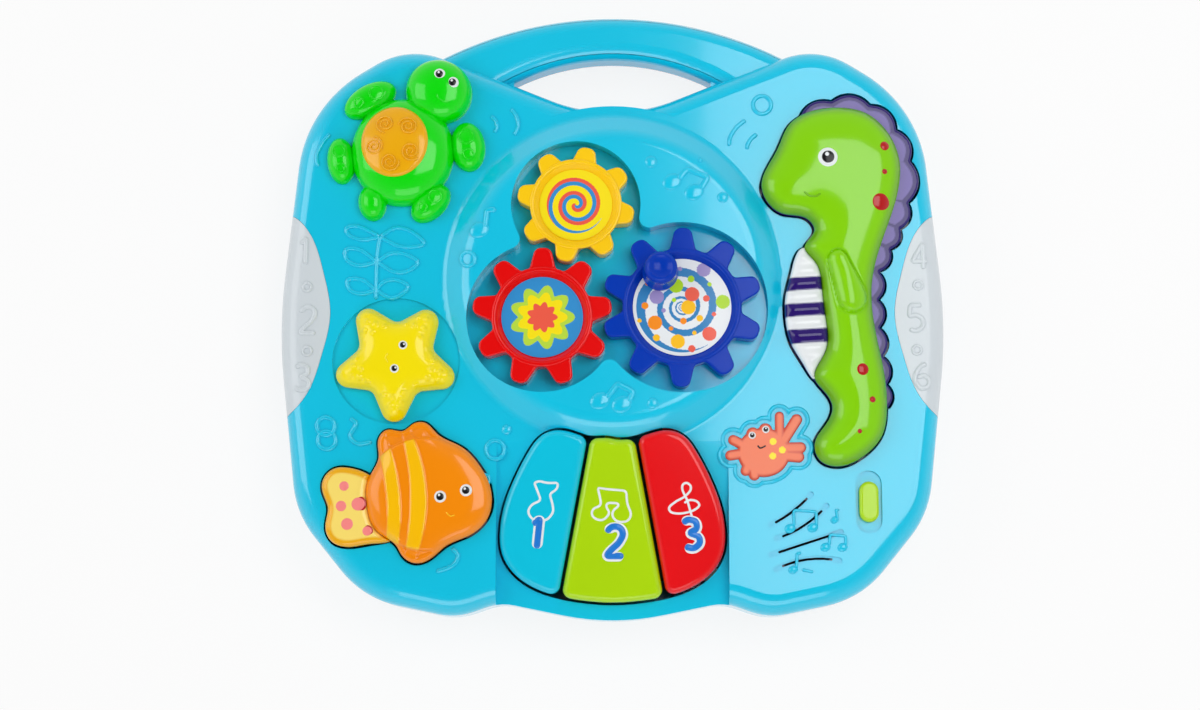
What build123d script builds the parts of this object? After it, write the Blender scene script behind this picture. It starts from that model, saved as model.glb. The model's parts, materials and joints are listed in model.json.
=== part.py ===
"""Activity table top for small children: a two-shell case with a carry handle, three meshing gears, animal buttons,
three keys, light panels, a speaker and a battery box. Millimetres, +Z up, +Y towards the handle."""

import math
import os

from build123d import *

# Clearances
RUN_GAP = 0.08
AXIAL_PLAY = 0.2
SEAM = 0.2
REST_GAP = 0.3
POCKET_GAP = 1.3
SCREW_GAP = 0.05
OVERRUN = 6
HALF_TURN = 180

# Case
CASE_WIDTH = 400
CASE_DEPTH = 370
FOOT_PROUD = 2
WALL = 2.5
SPLIT_Z = 24
PLATEAU_Z = 48
SHOULDER = 12
BASE_ROUND = 8
CASE_CORNER_SHARES = [
    (0, 0.63, 0.5), (0.63, 0.9, 0.225), (0.94, 0.692, 0.4), (1.006, -0.055, 1.5), (0.94, -0.66, 0.3),
    (0.735, -0.93, 0.3), (0.46, -0.992, 0.2), (0.33, -0.943, 0.15), (0, -1.015, 0.75),
]

# Handle
HANDLE_TOP_Z = 42
HANDLE_BOTTOM_Z = 14
HANDLE_OUTER_RADIUS = 226
HANDLE_INNER_RADIUS = 131
HANDLE_THICKNESS = 26.5
HANDLE_SPAN = 224
HANDLE_INNER_SPAN = 142
HANDLE_ROUND = 9
HAND_HOLE_WIDTH = 121

# Dome and apron
DOME_Y = 18
DOME_RADIUS = 101
DOME_RISE = 10
DOME_SLOPE = 14
DOME_ROUND = 14
DOME_FOOT_ROUND = 7
DOME_FLARE = 6
APRON_Y = -80
APRON_WIDTH = 137
APRON_DROP = 12

# Gears
GEAR_THICKNESS = 11
GEAR_EDGE = 1.2
WELL_DEPTH = 11.5
WELL_GAP = 3.4
WELL_ROUND = 6
TOOTH_TIP_WIDTH = 9.5
TOOTH_ROOT_WIDTH = 15.5
TOOTH_TIP_ROUND = 4.8
TOOTH_ROOT_ROUND = 3
GEAR_REST_TURN = 5
BLUE_TEETH, RED_TEETH, YELLOW_TEETH = 10, 9, 8
BLUE_X, BLUE_Y = 41.4, -0.8
RED_X, RED_Y = -41.8, -6.8
YELLOW_X, YELLOW_Y = -22, 61.7
BLUE_TIP, BLUE_ROOT = 48, 35.6
RED_TIP, RED_ROOT = 41.8, 30.2
YELLOW_TIP, YELLOW_ROOT = 35.4, 25.8
BLUE_DISH, RED_DISH, YELLOW_DISH = 29.5, 24.5, 22
DISH_DEPTH = 3
DISH_SLOPE = 2.5
LABEL_THICKNESS = 0.4
GEAR_RIM = 4
AXLE_RADIUS = 4
THRUST_RADIUS = 8
THRUST_HEIGHT = 0.4
HUB_RADIUS = 11.5
WASHER_RADIUS = 8
WASHER_THICKNESS = 1.2
COUNTERBORE_GAP = 0.6
POST_DEPTH = 9

# Crank knob
KNOB_ORBIT = 24.4
KNOB_ANGLE = 122
KNOB_RADIUS = 10.8
KNOB_HEIGHT = 18
KNOB_EDGE = 4
KNOB_WAIST = 1.4
KNOB_DISH_RADIUS = 7
KNOB_DISH_DEPTH = 2.2
KNOB_PEG_RADIUS = 3.5
KNOB_PEG_LENGTH = 5

# Screws
SCREW_RADIUS = 1.5
SCREW_HEAD_RADIUS = 3.2
SCREW_HEAD_HEIGHT = 1.4
CROSS_WIDTH = 0.8
CROSS_DEPTH = 0.8
GEAR_SCREW_LENGTH = 12
BOSS_SCREW_LENGTH = 10
CASE_SCREW_LENGTH = 20
CASE_SCREW_SEAT_Z = 14
DOOR_SCREW_LENGTH = 9
POST_RADIUS = 4.2
BOSS_RADIUS = 6
CASE_SCREW_SHARES = [
    (-0.44, 0.757), (0.44, 0.757), (-0.88, 0.44), (-0.59, 0.162), (-0.64, -0.89), (-0.41, -0.885), (0.41, -0.885),
    (0.72, -0.82), (0.89, -0.476),
]

# Turtle
TURTLE_X, TURTLE_Y = -127, 93.5
TURTLE_RADIUS = 31.5
TURTLE_HEIGHT = 17
TURTLE_SHELL_RADIUS = 20.8
TURTLE_SHELL_X, TURTLE_SHELL_Y = -3.9, 4.2
TURTLE_SHELL_PROUD = 0.9
TURTLE_SHELL_SEAT = 10
TURTLE_HEAD_SHARE = (0.68, 1.19)
TURTLE_HEAD_RADIUS = 19
TURTLE_HEAD_SINK = 3.5
LIMB_SINK = 1.5
LIMB_SHARES = [
    (-0.67, 1.1, 0.53, 0.31, 28), (1.24, 0.17, 0.48, 0.33, 97), (-1.15, -0.1, 0.43, 0.25, 96),
    (0.56, -0.95, 0.42, 0.27, -42), (-0.62, -0.94, 0.4, 0.26, 48),
]

# Star
STAR_X, STAR_Y = -129, -32
STAR_POINTS = 5
STAR_TIP = 45
STAR_NOTCH = 21.5
STAR_TIP_ROUND = 6
STAR_NOTCH_ROUND = 6
STAR_PHASE = 53
STAR_HEIGHT = 10
STAR_EDGE = 4.5
STAR_RECESS_RADIUS = 38
STAR_RECESS_DEPTH = 1.5

# Fish
FISH_X, FISH_Y = -121, -111
FISH_LENGTH, FISH_HEIGHT = 101, 83
FISH_TOP_RISE = 9
FISH_TAIL_RISE = 4
FISH_CROWN_RADIUS = 130
FISH_EDGE = 2.5
FISH_PLUNGER_SHARE = (0.1, 0)
FISH_BAR_SHARES = (-0.54, 0.1, 0.465)
FISH_BAR_WIDTH = 52
FISH_SHARES = [
    (0.494, -0.025), (0.471, -0.174), (0.371, -0.294), (0.231, -0.372), (0.137, -0.465), (0.05, -0.493),
    (-0.02, -0.443), (-0.056, -0.372), (-0.167, -0.273), (-0.231, -0.082), (-0.225, 0.096), (-0.167, 0.259),
    (-0.173, 0.372), (-0.12, 0.45), (-0.026, 0.443), (0.032, 0.493), (0.102, 0.5), (0.173, 0.422),
    (0.313, 0.33), (0.418, 0.202), (0.477, 0.074),
]
FISH_TAIL_SHARES = [
    (-0.126, -0.117), (-0.085, -0.33), (-0.213, -0.358), (-0.336, -0.379), (-0.43, -0.344), (-0.471, -0.238),
    (-0.459, -0.103), (-0.494, 0.018), (-0.488, 0.103), (-0.43, 0.174), (-0.342, 0.181), (-0.202, 0.11),
]

# Seahorse
SEAHORSE_X, SEAHORSE_Y = 137, 18.7
SEAHORSE_WIDTH, SEAHORSE_LENGTH = 94, 228
SEAHORSE_RISE = 12
SEAHORSE_BELLY_RISE = 7
SEAHORSE_FIN_RISE = 2
SEAHORSE_EDGE = 3
SEAHORSE_SCALLOP_SHARE = 0.22
SEAHORSE_PLUNGER_SHARES = [(0.085, 0.13), (0.16, -0.2)]
SEAHORSE_BAR_SHARES = [(0.075, 0.74), (-0.01, 0.78)]
SEAHORSE_SHARES = [
    (-0.5, 0.252), (-0.462, 0.295), (-0.391, 0.348), (-0.321, 0.409), (-0.16, 0.449), (0, 0.457), (0.167, 0.444),
    (0.308, 0.393), (0.385, 0.316), (0.378, 0.241), (0.314, 0.151), (0.237, 0.063), (0.193, -0.017),
    (0.203, -0.132), (0.26, -0.265), (0.27, -0.351), (0.236, -0.42), (0.12, -0.473), (-0.04, -0.5),
    (-0.155, -0.484), (-0.187, -0.441), (-0.11, -0.388), (-0.072, -0.345), (-0.13, -0.3), (-0.18, -0.271),
    (-0.112, -0.201), (-0.101, -0.124), (-0.125, -0.031), (-0.167, 0.039), (-0.231, 0.079), (-0.167, 0.124),
    (-0.212, 0.156), (-0.359, 0.169), (-0.468, 0.204),
]
SEAHORSE_BELLY_SHARES = [
    (-0.16, 0.063), (-0.051, -0.004), (-0.013, -0.111), (-0.032, -0.217), (-0.17, -0.277), (-0.25, -0.233),
    (-0.327, -0.177), (-0.359, -0.116), (-0.359, -0.057), (-0.321, 0.009), (-0.237, 0.076),
]
FIN_CUSP_SHARES = [
    (-0.25, 0.43), (-0.04, 0.478), (0.21, 0.468), (0.375, 0.4), (0.46, 0.315), (0.44, 0.2), (0.385, 0.13),
    (0.32, 0.075), (0.245, 0.015), (0.235, -0.06), (0.24, -0.135), (0.255, -0.21), (0.277, -0.285), (0.283, -0.345),
]
FIN_INNER_SHARES = [(0.16, -0.345), (0.1, -0.1), (0.15, 0.15), (0.1, 0.35)]

# Pressed buttons
PLUNGER_RADIUS = 5
BAR_WIDTH = 14
BAR_THICKNESS = 2
DOME_SWITCH_RADIUS = 6
DOME_SWITCH_TOP_RADIUS = 4
DOME_SWITCH_HEIGHT = 7

# Keys
KEYS_WIDTH = 132
KEYS_LENGTH = 100
KEYS_Y = -125
KEY_WELL_GAP = 1.5
KEY_GAP = 1.8
KEY_CORNER = 5.5
KEY_PROUD = 8
KEY_EDGE = 4
KEY_BOTTOM_Z = 31
KEY_INNER_DIVIDE_SHARE = 0.1
KEY_OUTER_DIVIDE_SHARE = 0.24
KEY_AXLE_Y = -46
KEY_AXLE_Z = 37.5
KEY_AXLE_RADIUS = 1.5
KEY_ARM_WIDTH = 9
KEY_ARM_RADIUS = 3.4
KEY_ARM_SHARES = [-0.26, 0, 0.26]
KEY_PLUNGER_SHARES = [(-0.32, -0.02), (0, -0.05), (0.32, -0.02)]
KEY_PLUNGER_RADIUS = 3
BRACKET_SHARES = [-0.4, -0.14, 0.14, 0.4]
BRACKET_WIDTH = 4
BRACKET_RADIUS = 4
KEYS_HALF_SHARES = [
    (0, 0.46), (0.1, 0.465), (0.165, 0.49), (0.235, 0.51), (0.31, 0.485), (0.375, 0.385), (0.44, 0.22),
    (0.485, 0.06), (0.502, -0.08), (0.495, -0.2), (0.45, -0.31), (0.37, -0.395), (0.25, -0.455), (0.12, -0.485),
    (0, -0.495),
]

# Volume slider
SLIDER_X, SLIDER_Y = 151, -116
SLIDER_RECESS_WIDTH, SLIDER_RECESS_LENGTH = 15.5, 37
SLIDER_RECESS_DEPTH = 2
SLIDER_WIDTH, SLIDER_LENGTH = 11.5, 24
SLIDER_HEIGHT = 4.5
SLIDER_EDGE = 2
SLIDER_TRAVEL = 6
STEM_WIDTH, STEM_LENGTH = 4, 8
STEM_DEPTH = 6
SWITCH_WIDTH, SWITCH_LENGTH = 9, 30
SWITCH_FRAME = 1
SWITCH_DEPTH = 7

# Light panels
PANEL_LENGTH = 127
PANEL_DEPTH = 31
PANEL_Y = -3.5
PANEL_HALF_SHARES = [(0, 0.5), (0.36, 0.45), (0.62, 0.365), (0.85, 0.2), (1, 0)]

# Speaker
SPEAKER_X, SPEAKER_Y = 112, -135.5
SPEAKER_RADIUS = 25
SPEAKER_FLANGE = 4
SPEAKER_FLANGE_THICKNESS = 1.6
SPEAKER_DEPTH = 12
SPEAKER_WALL = 1.2
CONE_THICKNESS = 0.8
CONE_CAP_RADIUS = 6
CONE_RIM = 2.5
MAGNET_RADIUS = 13
MAGNET_DEPTH = 7
SPEAKER_EAR_RADIUS = 4
SPEAKER_TURN = -14
GRILLE_GROOVE_WIDTH, GRILLE_GROOVE_DEPTH = 3.4, 1.2
GRILLE_SLIT_WIDTH = 1.4
GRILLE_SLIT_SHARES = (0.12, 0.88)
GRILLE_SHARES = [
    ((-0.76, 0.24), (-0.235, 0.56), (0.197, 0.96)), ((-0.627, -0.076), (0.047, 0.24), (0.559, 0.69)),
    ((-0.758, -0.46), (-0.07, -0.234), (0.888, 0.074)), ((-0.643, -0.796), (-0.14, -0.608), (0.838, -0.596)),
]

# Boards and lights
BOARD_TOP_Z = 23
BOARD_THICKNESS = 1.6
BOARD_POST_RADIUS = 3.5
MAIN_BOARD_WIDTH, MAIN_BOARD_LENGTH, MAIN_BOARD_Y = 124, 66, -128
FISH_BOARD_WIDTH, FISH_BOARD_LENGTH = 40, 20
SEAHORSE_BOARD_WIDTH, SEAHORSE_BOARD_END = 18, 10
LIGHT_BOARD_WIDTH, LIGHT_BOARD_LENGTH, LIGHT_BOARD_INSET = 13, 78, 22
BOARD_POST_INSET = 5
LIGHT_RADIUS, LIGHT_HEIGHT = 2.5, 8
LIGHT_SHARES = [-0.3, 0, 0.3]
CHIP_RADIUS, CHIP_HEIGHT = 7, 2.4
CHIP_Y = 22
CAPACITOR_RADIUS, CAPACITOR_HEIGHT = 3, 4.5
CAPACITOR_X_SHARES = [-0.35, -0.25, 0.2, 0.35]

# Batteries
BATTERY_Y = 52
CELLS = 3
CELL_RADIUS = 7.25
CELL_LENGTH = 49.5
CELL_NUB_RADIUS = 2.75
CELL_NUB_LENGTH = 1
CELL_PITCH = 15.3
CELL_GAP = 0.3
CONTACT_WIDTH, CONTACT_HEIGHT, CONTACT_THICKNESS = 9, 9, 0.5
CONTACT_SPRING = 3.5
CONTACT_SPRING_RADIUS = 4
DOOR_MARGIN = 3
DOOR_LENGTH = 84
DOOR_CORNER = 4
DOOR_GAP = 0.25
DOOR_SCREW_INSET = 5.5

# Leg sockets and feet
SOCKET_SHARES = [(-0.75, -0.605), (0.75, -0.605), (-0.75, 0.605), (0.75, 0.605)]
SOCKET_RADIUS = 13
SOCKET_DEPTH = 22
FOOT_SHARES = [(-0.53, -0.87), (0.53, -0.87), (-0.6, 0.77), (0.6, 0.77)]
FOOT_RADIUS = 9
FOOT_EDGE = 0.8
FOOT_RECESS = 1

# Crab badge
CRAB_X, CRAB_Y = 91, -83
CRAB_WIDTH = 47
CRAB_THICKNESS = 1.2
CRAB_RECESS = 0.8
CRAB_MARGIN = 2
CRAB_BODY_SHARES = (-0.033, -0.078, 0.33, 0.31)
CRAB_BROW_SHARES = [(-0.167, 0.155, 0.083), (-0.008, 0.207, 0.083)]
CRAB_LIMB_SHARES = [
    (-0.211, -0.026, -0.415, 0.078, 0.064), (-0.211, -0.078, -0.453, -0.116, 0.064),
    (0.17, 0.078, 0.17, 0.381, 0.057), (0.221, 0.078, 0.387, 0.336, 0.07),
    (0.196, -0.026, 0.431, -0.019, 0.07), (0.196, -0.116, 0.406, -0.136, 0.07),
    (-0.16, -0.258, -0.154, -0.362, 0.07), (-0.211, -0.181, -0.262, -0.31, 0.064),
]

# Levels worked out from the sizes above
BASE_Z = FOOT_PROUD
FLOOR_Z = BASE_Z + WALL
CEILING_Z = PLATEAU_Z - WALL
RIM_Z = PLATEAU_Z + DOME_RISE
WELL_Z = RIM_Z - WELL_DEPTH
GEAR_BOTTOM_Z = WELL_Z + THRUST_HEIGHT + AXIAL_PLAY
GEAR_TOP_Z = GEAR_BOTTOM_Z + GEAR_THICKNESS
DISH_Z = GEAR_TOP_Z - DISH_DEPTH
COUNTERBORE_Z = DISH_Z - WASHER_THICKNESS - SCREW_HEAD_HEIGHT - AXIAL_PLAY
AXLE_TOP_Z = COUNTERBORE_Z + AXIAL_PLAY
BUTTON_Z = CEILING_Z - AXIAL_PLAY
BOARD_Z = BOARD_TOP_Z - BOARD_THICKNESS
PLUNGER_Z = BOARD_TOP_Z + DOME_SWITCH_HEIGHT
HALF_WIDTH = CASE_WIDTH / 2
HALF_DEPTH = CASE_DEPTH / 2
LIGHT_BOARD_X = HALF_WIDTH - LIGHT_BOARD_INSET
APRON_SLOPE = APRON_DROP / (HALF_DEPTH + APRON_Y)


def place(share, width, height, x=0, y=0):
    """A plan point from a pair of shares of two sizes about a centre."""
    return (x + share[0] * width, y + share[1] * height)


def mirrored(half):
    """Closes a right-hand half outline with its mirror image."""
    return half + [(-point[0], *point[1:]) for point in reversed(half[1:-1])]


def outline(shares, width, height, x=0, y=0, extra=0):
    """A face inside a smooth closed curve through points given as shares, grown outwards by an extra gap."""
    points = [place(s, width, height, x, y) for s in shares]
    if extra:
        points = [moved_out(points, i, extra) for i in range(len(points))]
    return make_face(Spline(*points, periodic=True))


def moved_out(points, index, extra):
    """A point of a clockwise outline moved square to the line between its neighbours."""
    (ax, ay), (bx, by) = points[index - 1], points[(index + 1) % len(points)]
    length = math.hypot(bx - ax, by - ay)
    x, y = points[index]
    return (x - (by - ay) / length * extra, y + (bx - ax) / length * extra)


def grown(face, amount):
    """A plan face moved outwards, or inwards for a negative amount."""
    return offset(face, amount=amount, kind=Kind.ARC)


def prism(face, low, high):
    """A plan face carried straight up from one level to another."""
    return extrude(Pos(0, 0, low) * face, amount=high - low, dir=(0, 0, 1))


def disc(x, y, radius, low, high):
    """An upright cylinder between two levels."""
    return Pos(x, y, low) * Cylinder(radius, high - low, align=(Align.CENTER, Align.CENTER, Align.MIN))


def block(x, y, width, length, low, high):
    """An upright box between two levels."""
    return Pos(x, y, low) * Box(width, length, high - low, align=(Align.CENTER, Align.CENTER, Align.MIN))


def top_edges(solid, level):
    """The edges of a solid that lie wholly at one level."""
    return solid.edges().filter_by_position(Axis.Z, level, level)


def joined(pieces):
    """One shape from a list of shapes."""
    whole = pieces[0]
    for piece in pieces[1:]:
        whole = whole + piece
    return whole


def cross_recess(x, y, low, high):
    """The cross-shaped driver recess of a screw head."""
    span = SCREW_HEAD_RADIUS
    return block(x, y, span, CROSS_WIDTH, low, high) + block(x, y, CROSS_WIDTH, span, low, high)


def screw_down(x, y, seat, length):
    """A pan-head screw whose head stands on a seat and whose shank points down."""
    top = seat + SCREW_HEAD_HEIGHT
    body = disc(x, y, SCREW_HEAD_RADIUS, seat, top) + disc(x, y, SCREW_RADIUS, seat - length, seat)
    return body - cross_recess(x, y, top - CROSS_DEPTH, top + OVERRUN)


def screw_up(x, y, seat, length):
    """A pan-head screw driven from below, its head under a seat."""
    low = seat - SCREW_HEAD_HEIGHT
    body = disc(x, y, SCREW_HEAD_RADIUS, low, seat) + disc(x, y, SCREW_RADIUS, seat, seat + length)
    return body - cross_recess(x, y, low - OVERRUN, low + CROSS_DEPTH)


def case_outline():
    """The case's plan outline: straight sides between rounded corners, alike on both sides."""
    corners = mirrored(CASE_CORNER_SHARES)
    points = [place(corner, HALF_WIDTH, HALF_DEPTH) for corner in corners]
    return make_face(FilletPolyline(*points, radius=[corner[2] * HALF_WIDTH for corner in corners], close=True))


# Plan faces that several pieces share
CASE_FACE = case_outline()
CASE_INNER_FACE = grown(CASE_FACE, -WALL)
CASE_FRONT_Y = CASE_FACE.bounding_box().min.Y
HANDLE_Y = -CASE_FRONT_Y
FISH_SIZE = (FISH_LENGTH, FISH_HEIGHT, FISH_X, FISH_Y)
FISH_FACE = outline(FISH_SHARES, *FISH_SIZE)
FISH_TAIL_FACE = outline(FISH_TAIL_SHARES, *FISH_SIZE)
SEAHORSE_SIZE = (SEAHORSE_WIDTH, SEAHORSE_LENGTH, SEAHORSE_X, SEAHORSE_Y)
SEAHORSE_FACE = outline(SEAHORSE_SHARES, *SEAHORSE_SIZE)
BELLY_FACE = outline(SEAHORSE_BELLY_SHARES, *SEAHORSE_SIZE)
KEYS_SIZE = (KEYS_WIDTH, KEYS_LENGTH, 0, KEYS_Y)
KEY_WELL_FACE = outline(mirrored(KEYS_HALF_SHARES), *KEYS_SIZE, KEY_WELL_GAP)

GEARS = [
    ("blue", BLUE_X, BLUE_Y, BLUE_TIP), ("red", RED_X, RED_Y, RED_TIP), ("yellow", YELLOW_X, YELLOW_Y, YELLOW_TIP),
]
CASE_SCREWS = [place(s, HALF_WIDTH, HALF_DEPTH) for s in CASE_SCREW_SHARES]
SOCKETS = [place(s, HALF_WIDTH, HALF_DEPTH) for s in SOCKET_SHARES]
FEET = [place(s, HALF_WIDTH, HALF_DEPTH) for s in FOOT_SHARES]
FISH_PLUNGER = place(FISH_PLUNGER_SHARE, *FISH_SIZE)
SEAHORSE_PLUNGERS = [place(s, *SEAHORSE_SIZE) for s in SEAHORSE_PLUNGER_SHARES]
KEY_PLUNGERS = [place(s, *KEYS_SIZE) for s in KEY_PLUNGER_SHARES]
KEY_ARMS = [s * KEYS_WIDTH for s in KEY_ARM_SHARES]
BRACKETS = [s * KEYS_WIDTH for s in BRACKET_SHARES]


def scalloped_fin_face(extra=0):
    """The seahorse's back fin: arcs that bulge out between cusps, closed behind the body."""
    points = [place(s, *SEAHORSE_SIZE) for s in FIN_CUSP_SHARES + FIN_INNER_SHARES]
    if extra:
        points = [moved_out(points, i, extra) for i in range(len(points))]
    cusps, inner = points[:len(FIN_CUSP_SHARES)], points[len(FIN_CUSP_SHARES):]
    edges = []
    for (ax, ay), (bx, by) in zip(cusps, cusps[1:]):
        out_x, out_y = (by - ay) * -SEAHORSE_SCALLOP_SHARE, (bx - ax) * SEAHORSE_SCALLOP_SHARE
        middle = ((ax + bx) / 2 + out_x, (ay + by) / 2 + out_y)
        edges.append(ThreePointArc((ax, ay), middle, (bx, by)))
    edges.append(Polyline(cusps[-1], *inner, cusps[0]))
    return make_face(edges)


FIN_FACE = scalloped_fin_face() + SEAHORSE_FACE + BELLY_FACE


def button_openings():
    """The plan areas of the openings round the fish with its tail and round the seahorse with its fin."""
    fish = [outline(shares, *FISH_SIZE, POCKET_GAP) for shares in (FISH_SHARES, FISH_TAIL_SHARES)]
    smooth = [outline(shares, *SEAHORSE_SIZE, POCKET_GAP) for shares in (SEAHORSE_SHARES, SEAHORSE_BELLY_SHARES)]
    return [joined(fish), joined([scalloped_fin_face(POCKET_GAP), *smooth])]


def gear_well_face(extra=0):
    """Three overlapping circles, one round each gear, with rounded cusps, all grown by an extra wall."""
    circles = [Pos(x, y) * Circle(tip + WELL_GAP + extra) for name, x, y, tip in GEARS]
    middle = make_face(Polyline(*[(x, y) for name, x, y, tip in GEARS], close=True))
    well = joined([*circles, middle])
    return fillet(well.vertices(), WELL_ROUND - extra)


def handle_face(inset=0):
    """The crescent between the handle's outer and inner arcs, with its ends inside the case."""
    outer_y = HANDLE_Y - HANDLE_OUTER_RADIUS
    inner_top = HANDLE_Y - HANDLE_THICKNESS
    inner_y = inner_top - HANDLE_INNER_RADIUS
    outer_radius = HANDLE_OUTER_RADIUS - inset
    inner_radius = HANDLE_INNER_RADIUS + inset
    outer_x = HANDLE_SPAN / 2 - inset
    inner_x = HANDLE_INNER_SPAN / 2
    outer_end = (outer_x, outer_y + math.sqrt(outer_radius**2 - outer_x**2))
    inner_end = (inner_x, inner_y + math.sqrt(inner_radius**2 - inner_x**2))
    corner = (outer_x, inner_end[1])
    outer = ThreePointArc((-outer_end[0], outer_end[1]), (0, outer_y + outer_radius), outer_end)
    inner = ThreePointArc((-inner_end[0], inner_end[1]), (0, inner_y + inner_radius), inner_end)
    right = Polyline(outer_end, corner, inner_end)
    left = Polyline((-outer_end[0], outer_end[1]), (-corner[0], corner[1]), (-inner_end[0], inner_end[1]))
    return make_face([outer, right, inner, left])


def handle_bar(low, high, level):
    """One half of the handle bar, rounded along its two long edges at the given level."""
    bar = prism(handle_face(), low, high)
    long_edges = top_edges(bar, level).filter_by(GeomType.CIRCLE)
    return fillet(long_edges, HANDLE_ROUND)


def hand_hole_ends(low, high):
    """The two short walls that close the hand hole's pointed ends."""
    inner_x = HANDLE_INNER_SPAN / 2
    width = inner_x - HAND_HOLE_WIDTH / 2
    length = 2 * SHOULDER
    y = HANDLE_Y - HANDLE_THICKNESS - SHOULDER - WALL
    middle = HAND_HOLE_WIDTH / 2 + width / 2
    return block(middle, y, width, length, low, high) + block(-middle, y, width, length, low, high)


def dome_solid(inset=0):
    """The raised round deck: a flat rim that eases down through a soft slope, on a short round foot."""
    top, foot = RIM_Z - inset, PLATEAU_Z - inset
    radius = DOME_RADIUS - inset
    edge, low = radius + DOME_FLARE, foot - SHOULDER / 2
    rounds = [DOME_FOOT_ROUND, DOME_ROUND]
    over = FilletPolyline((edge, foot), (radius, foot), (radius - DOME_SLOPE, top), (0, top), radius=rounds)
    under = Polyline((0, top), (0, low), (edge, low), (edge, foot))
    return Pos(0, DOME_Y) * revolve(Plane.XZ * make_face([over, under]), Axis.Z)


def apron_wedge(drop=0, extra=0):
    """The space above the sloping apron that carries the keys."""
    front = -HALF_DEPTH - OVERRUN
    back = APRON_Y
    high = PLATEAU_Z + DOME_RISE
    low_front = PLATEAU_Z - drop + APRON_SLOPE * (front - back)
    side = Polyline((back, PLATEAU_Z - drop), (front, low_front), (front, high), (back, high), close=True)
    width = APRON_WIDTH + 2 * extra
    return extrude(Plane.YZ.offset(-width / 2) * make_face(side), amount=width)


def apron_z(y):
    """The apron's level at a place along Y."""
    return PLATEAU_Z + APRON_SLOPE * (min(y, APRON_Y) - APRON_Y)


def outer_top():
    """The top shell's outer form, before it is hollowed."""
    form = fillet(top_edges(prism(CASE_FACE, SPLIT_Z, PLATEAU_Z), PLATEAU_Z), SHOULDER)
    form = form + handle_bar(SPLIT_Z, HANDLE_TOP_Z, HANDLE_TOP_Z)
    form = form + hand_hole_ends(SPLIT_Z, PLATEAU_Z - SHOULDER)
    form = form - apron_wedge()
    return form + dome_solid()


def top_cavity():
    """The hollow under the top shell, less the blocks that floor and wall its recesses."""
    inner = prism(CASE_INNER_FACE, SPLIT_Z - OVERRUN, CEILING_Z)
    inner = fillet(top_edges(inner, CEILING_Z), SHOULDER - WALL)
    inner = inner + dome_solid(WALL)
    star_floor = PLATEAU_Z - STAR_RECESS_DEPTH - WALL
    slider_floor = PLATEAU_Z - SLIDER_RECESS_DEPTH - WALL
    pad = (SLIDER_RECESS_WIDTH + 2 * WALL, SLIDER_RECESS_LENGTH + 2 * WALL)
    return inner - [
        apron_wedge(WALL, WALL),
        prism(gear_well_face(WALL), WELL_Z - WALL, RIM_Z),
        disc(STAR_X, STAR_Y, STAR_RECESS_RADIUS + WALL, star_floor, RIM_Z),
        block(SLIDER_X, SLIDER_Y, *pad, slider_floor, RIM_Z),
    ]


def panel_face(side, extra=0):
    """The plan area of a light panel: a bowed inner edge, open past the case's side."""
    half = [place(s, -(PANEL_DEPTH + extra), PANEL_LENGTH + 2 * extra) for s in PANEL_HALF_SHARES]
    bow = half + [(x, -y) for x, y in reversed(half[:-1])]
    curve = Spline(*[(side * (HALF_WIDTH + x), PANEL_Y + y) for x, y in bow])
    far = side * (HALF_WIDTH + PANEL_DEPTH)
    first, last = curve @ 0, curve @ 1
    return make_face([curve, Polyline(last, (far, last.Y), (far, first.Y), first)])


def light_panel(hull, side):
    """A white panel that wraps over the case's shoulder, cut from the case's own form."""
    return hull & prism(panel_face(side), SPLIT_Z + SEAM, RIM_Z)


def gear_posts():
    """The three axle posts, each on a thrust ring, with a boss below for its screw."""
    posts = []
    for name, x, y, tip in GEARS:
        posts.append(disc(x, y, THRUST_RADIUS, WELL_Z - WALL / 2, WELL_Z + THRUST_HEIGHT))
        posts.append(disc(x, y, AXLE_RADIUS, WELL_Z - WALL / 2, AXLE_TOP_Z))
        posts.append(disc(x, y, AXLE_RADIUS + WALL, WELL_Z - POST_DEPTH, WELL_Z - WALL / 2))
    return posts


def case_posts():
    """The posts that the case screws hold, from the deck down to the split."""
    return [disc(x, y, POST_RADIUS, SPLIT_Z, CEILING_Z + WALL / 2) for x, y in CASE_SCREWS]


def key_brackets():
    """Eyes under the gear well's floor that carry the key axle."""
    eyes = []
    for x in BRACKETS:
        eye = Plane.YZ.offset(x - BRACKET_WIDTH / 2) * Pos(KEY_AXLE_Y, KEY_AXLE_Z) * Circle(BRACKET_RADIUS)
        eyes.append(extrude(eye, amount=BRACKET_WIDTH))
        eyes.append(block(x, KEY_AXLE_Y, BRACKET_WIDTH, 2 * BRACKET_RADIUS, KEY_AXLE_Z, WELL_Z - WALL / 2))
    return eyes


def axle_rod(radius, length):
    """A rod along X on the key axle's line."""
    return extrude(Plane.YZ.offset(-length / 2) * Pos(KEY_AXLE_Y, KEY_AXLE_Z) * Circle(radius), amount=length)


def speaker_ears():
    """The two places of the speaker's screws, on a line turned away from the volume slider."""
    reach = SPEAKER_RADIUS + SPEAKER_EAR_RADIUS
    along = reach * math.cos(math.radians(SPEAKER_TURN))
    aside = reach * math.sin(math.radians(SPEAKER_TURN))
    return [(SPEAKER_X - along, SPEAKER_Y - aside), (SPEAKER_X + along, SPEAKER_Y + aside)]


def grille_slots():
    """Curved grooves in the deck above the speaker, each with a narrow slit through its floor."""
    cuts = []
    for shares in GRILLE_SHARES:
        arc = ThreePointArc(*[place(s, SPEAKER_RADIUS, SPEAKER_RADIUS, SPEAKER_X, SPEAKER_Y) for s in shares])
        groove = SlotArc(arc, GRILLE_GROOVE_WIDTH)
        slit = SlotArc(arc.trim(*GRILLE_SLIT_SHARES), GRILLE_SLIT_WIDTH)
        cuts.append(prism(groove, PLATEAU_Z - GRILLE_GROOVE_DEPTH, RIM_Z))
        cuts.append(prism(slit, CEILING_Z - OVERRUN, RIM_Z))
    return cuts


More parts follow.
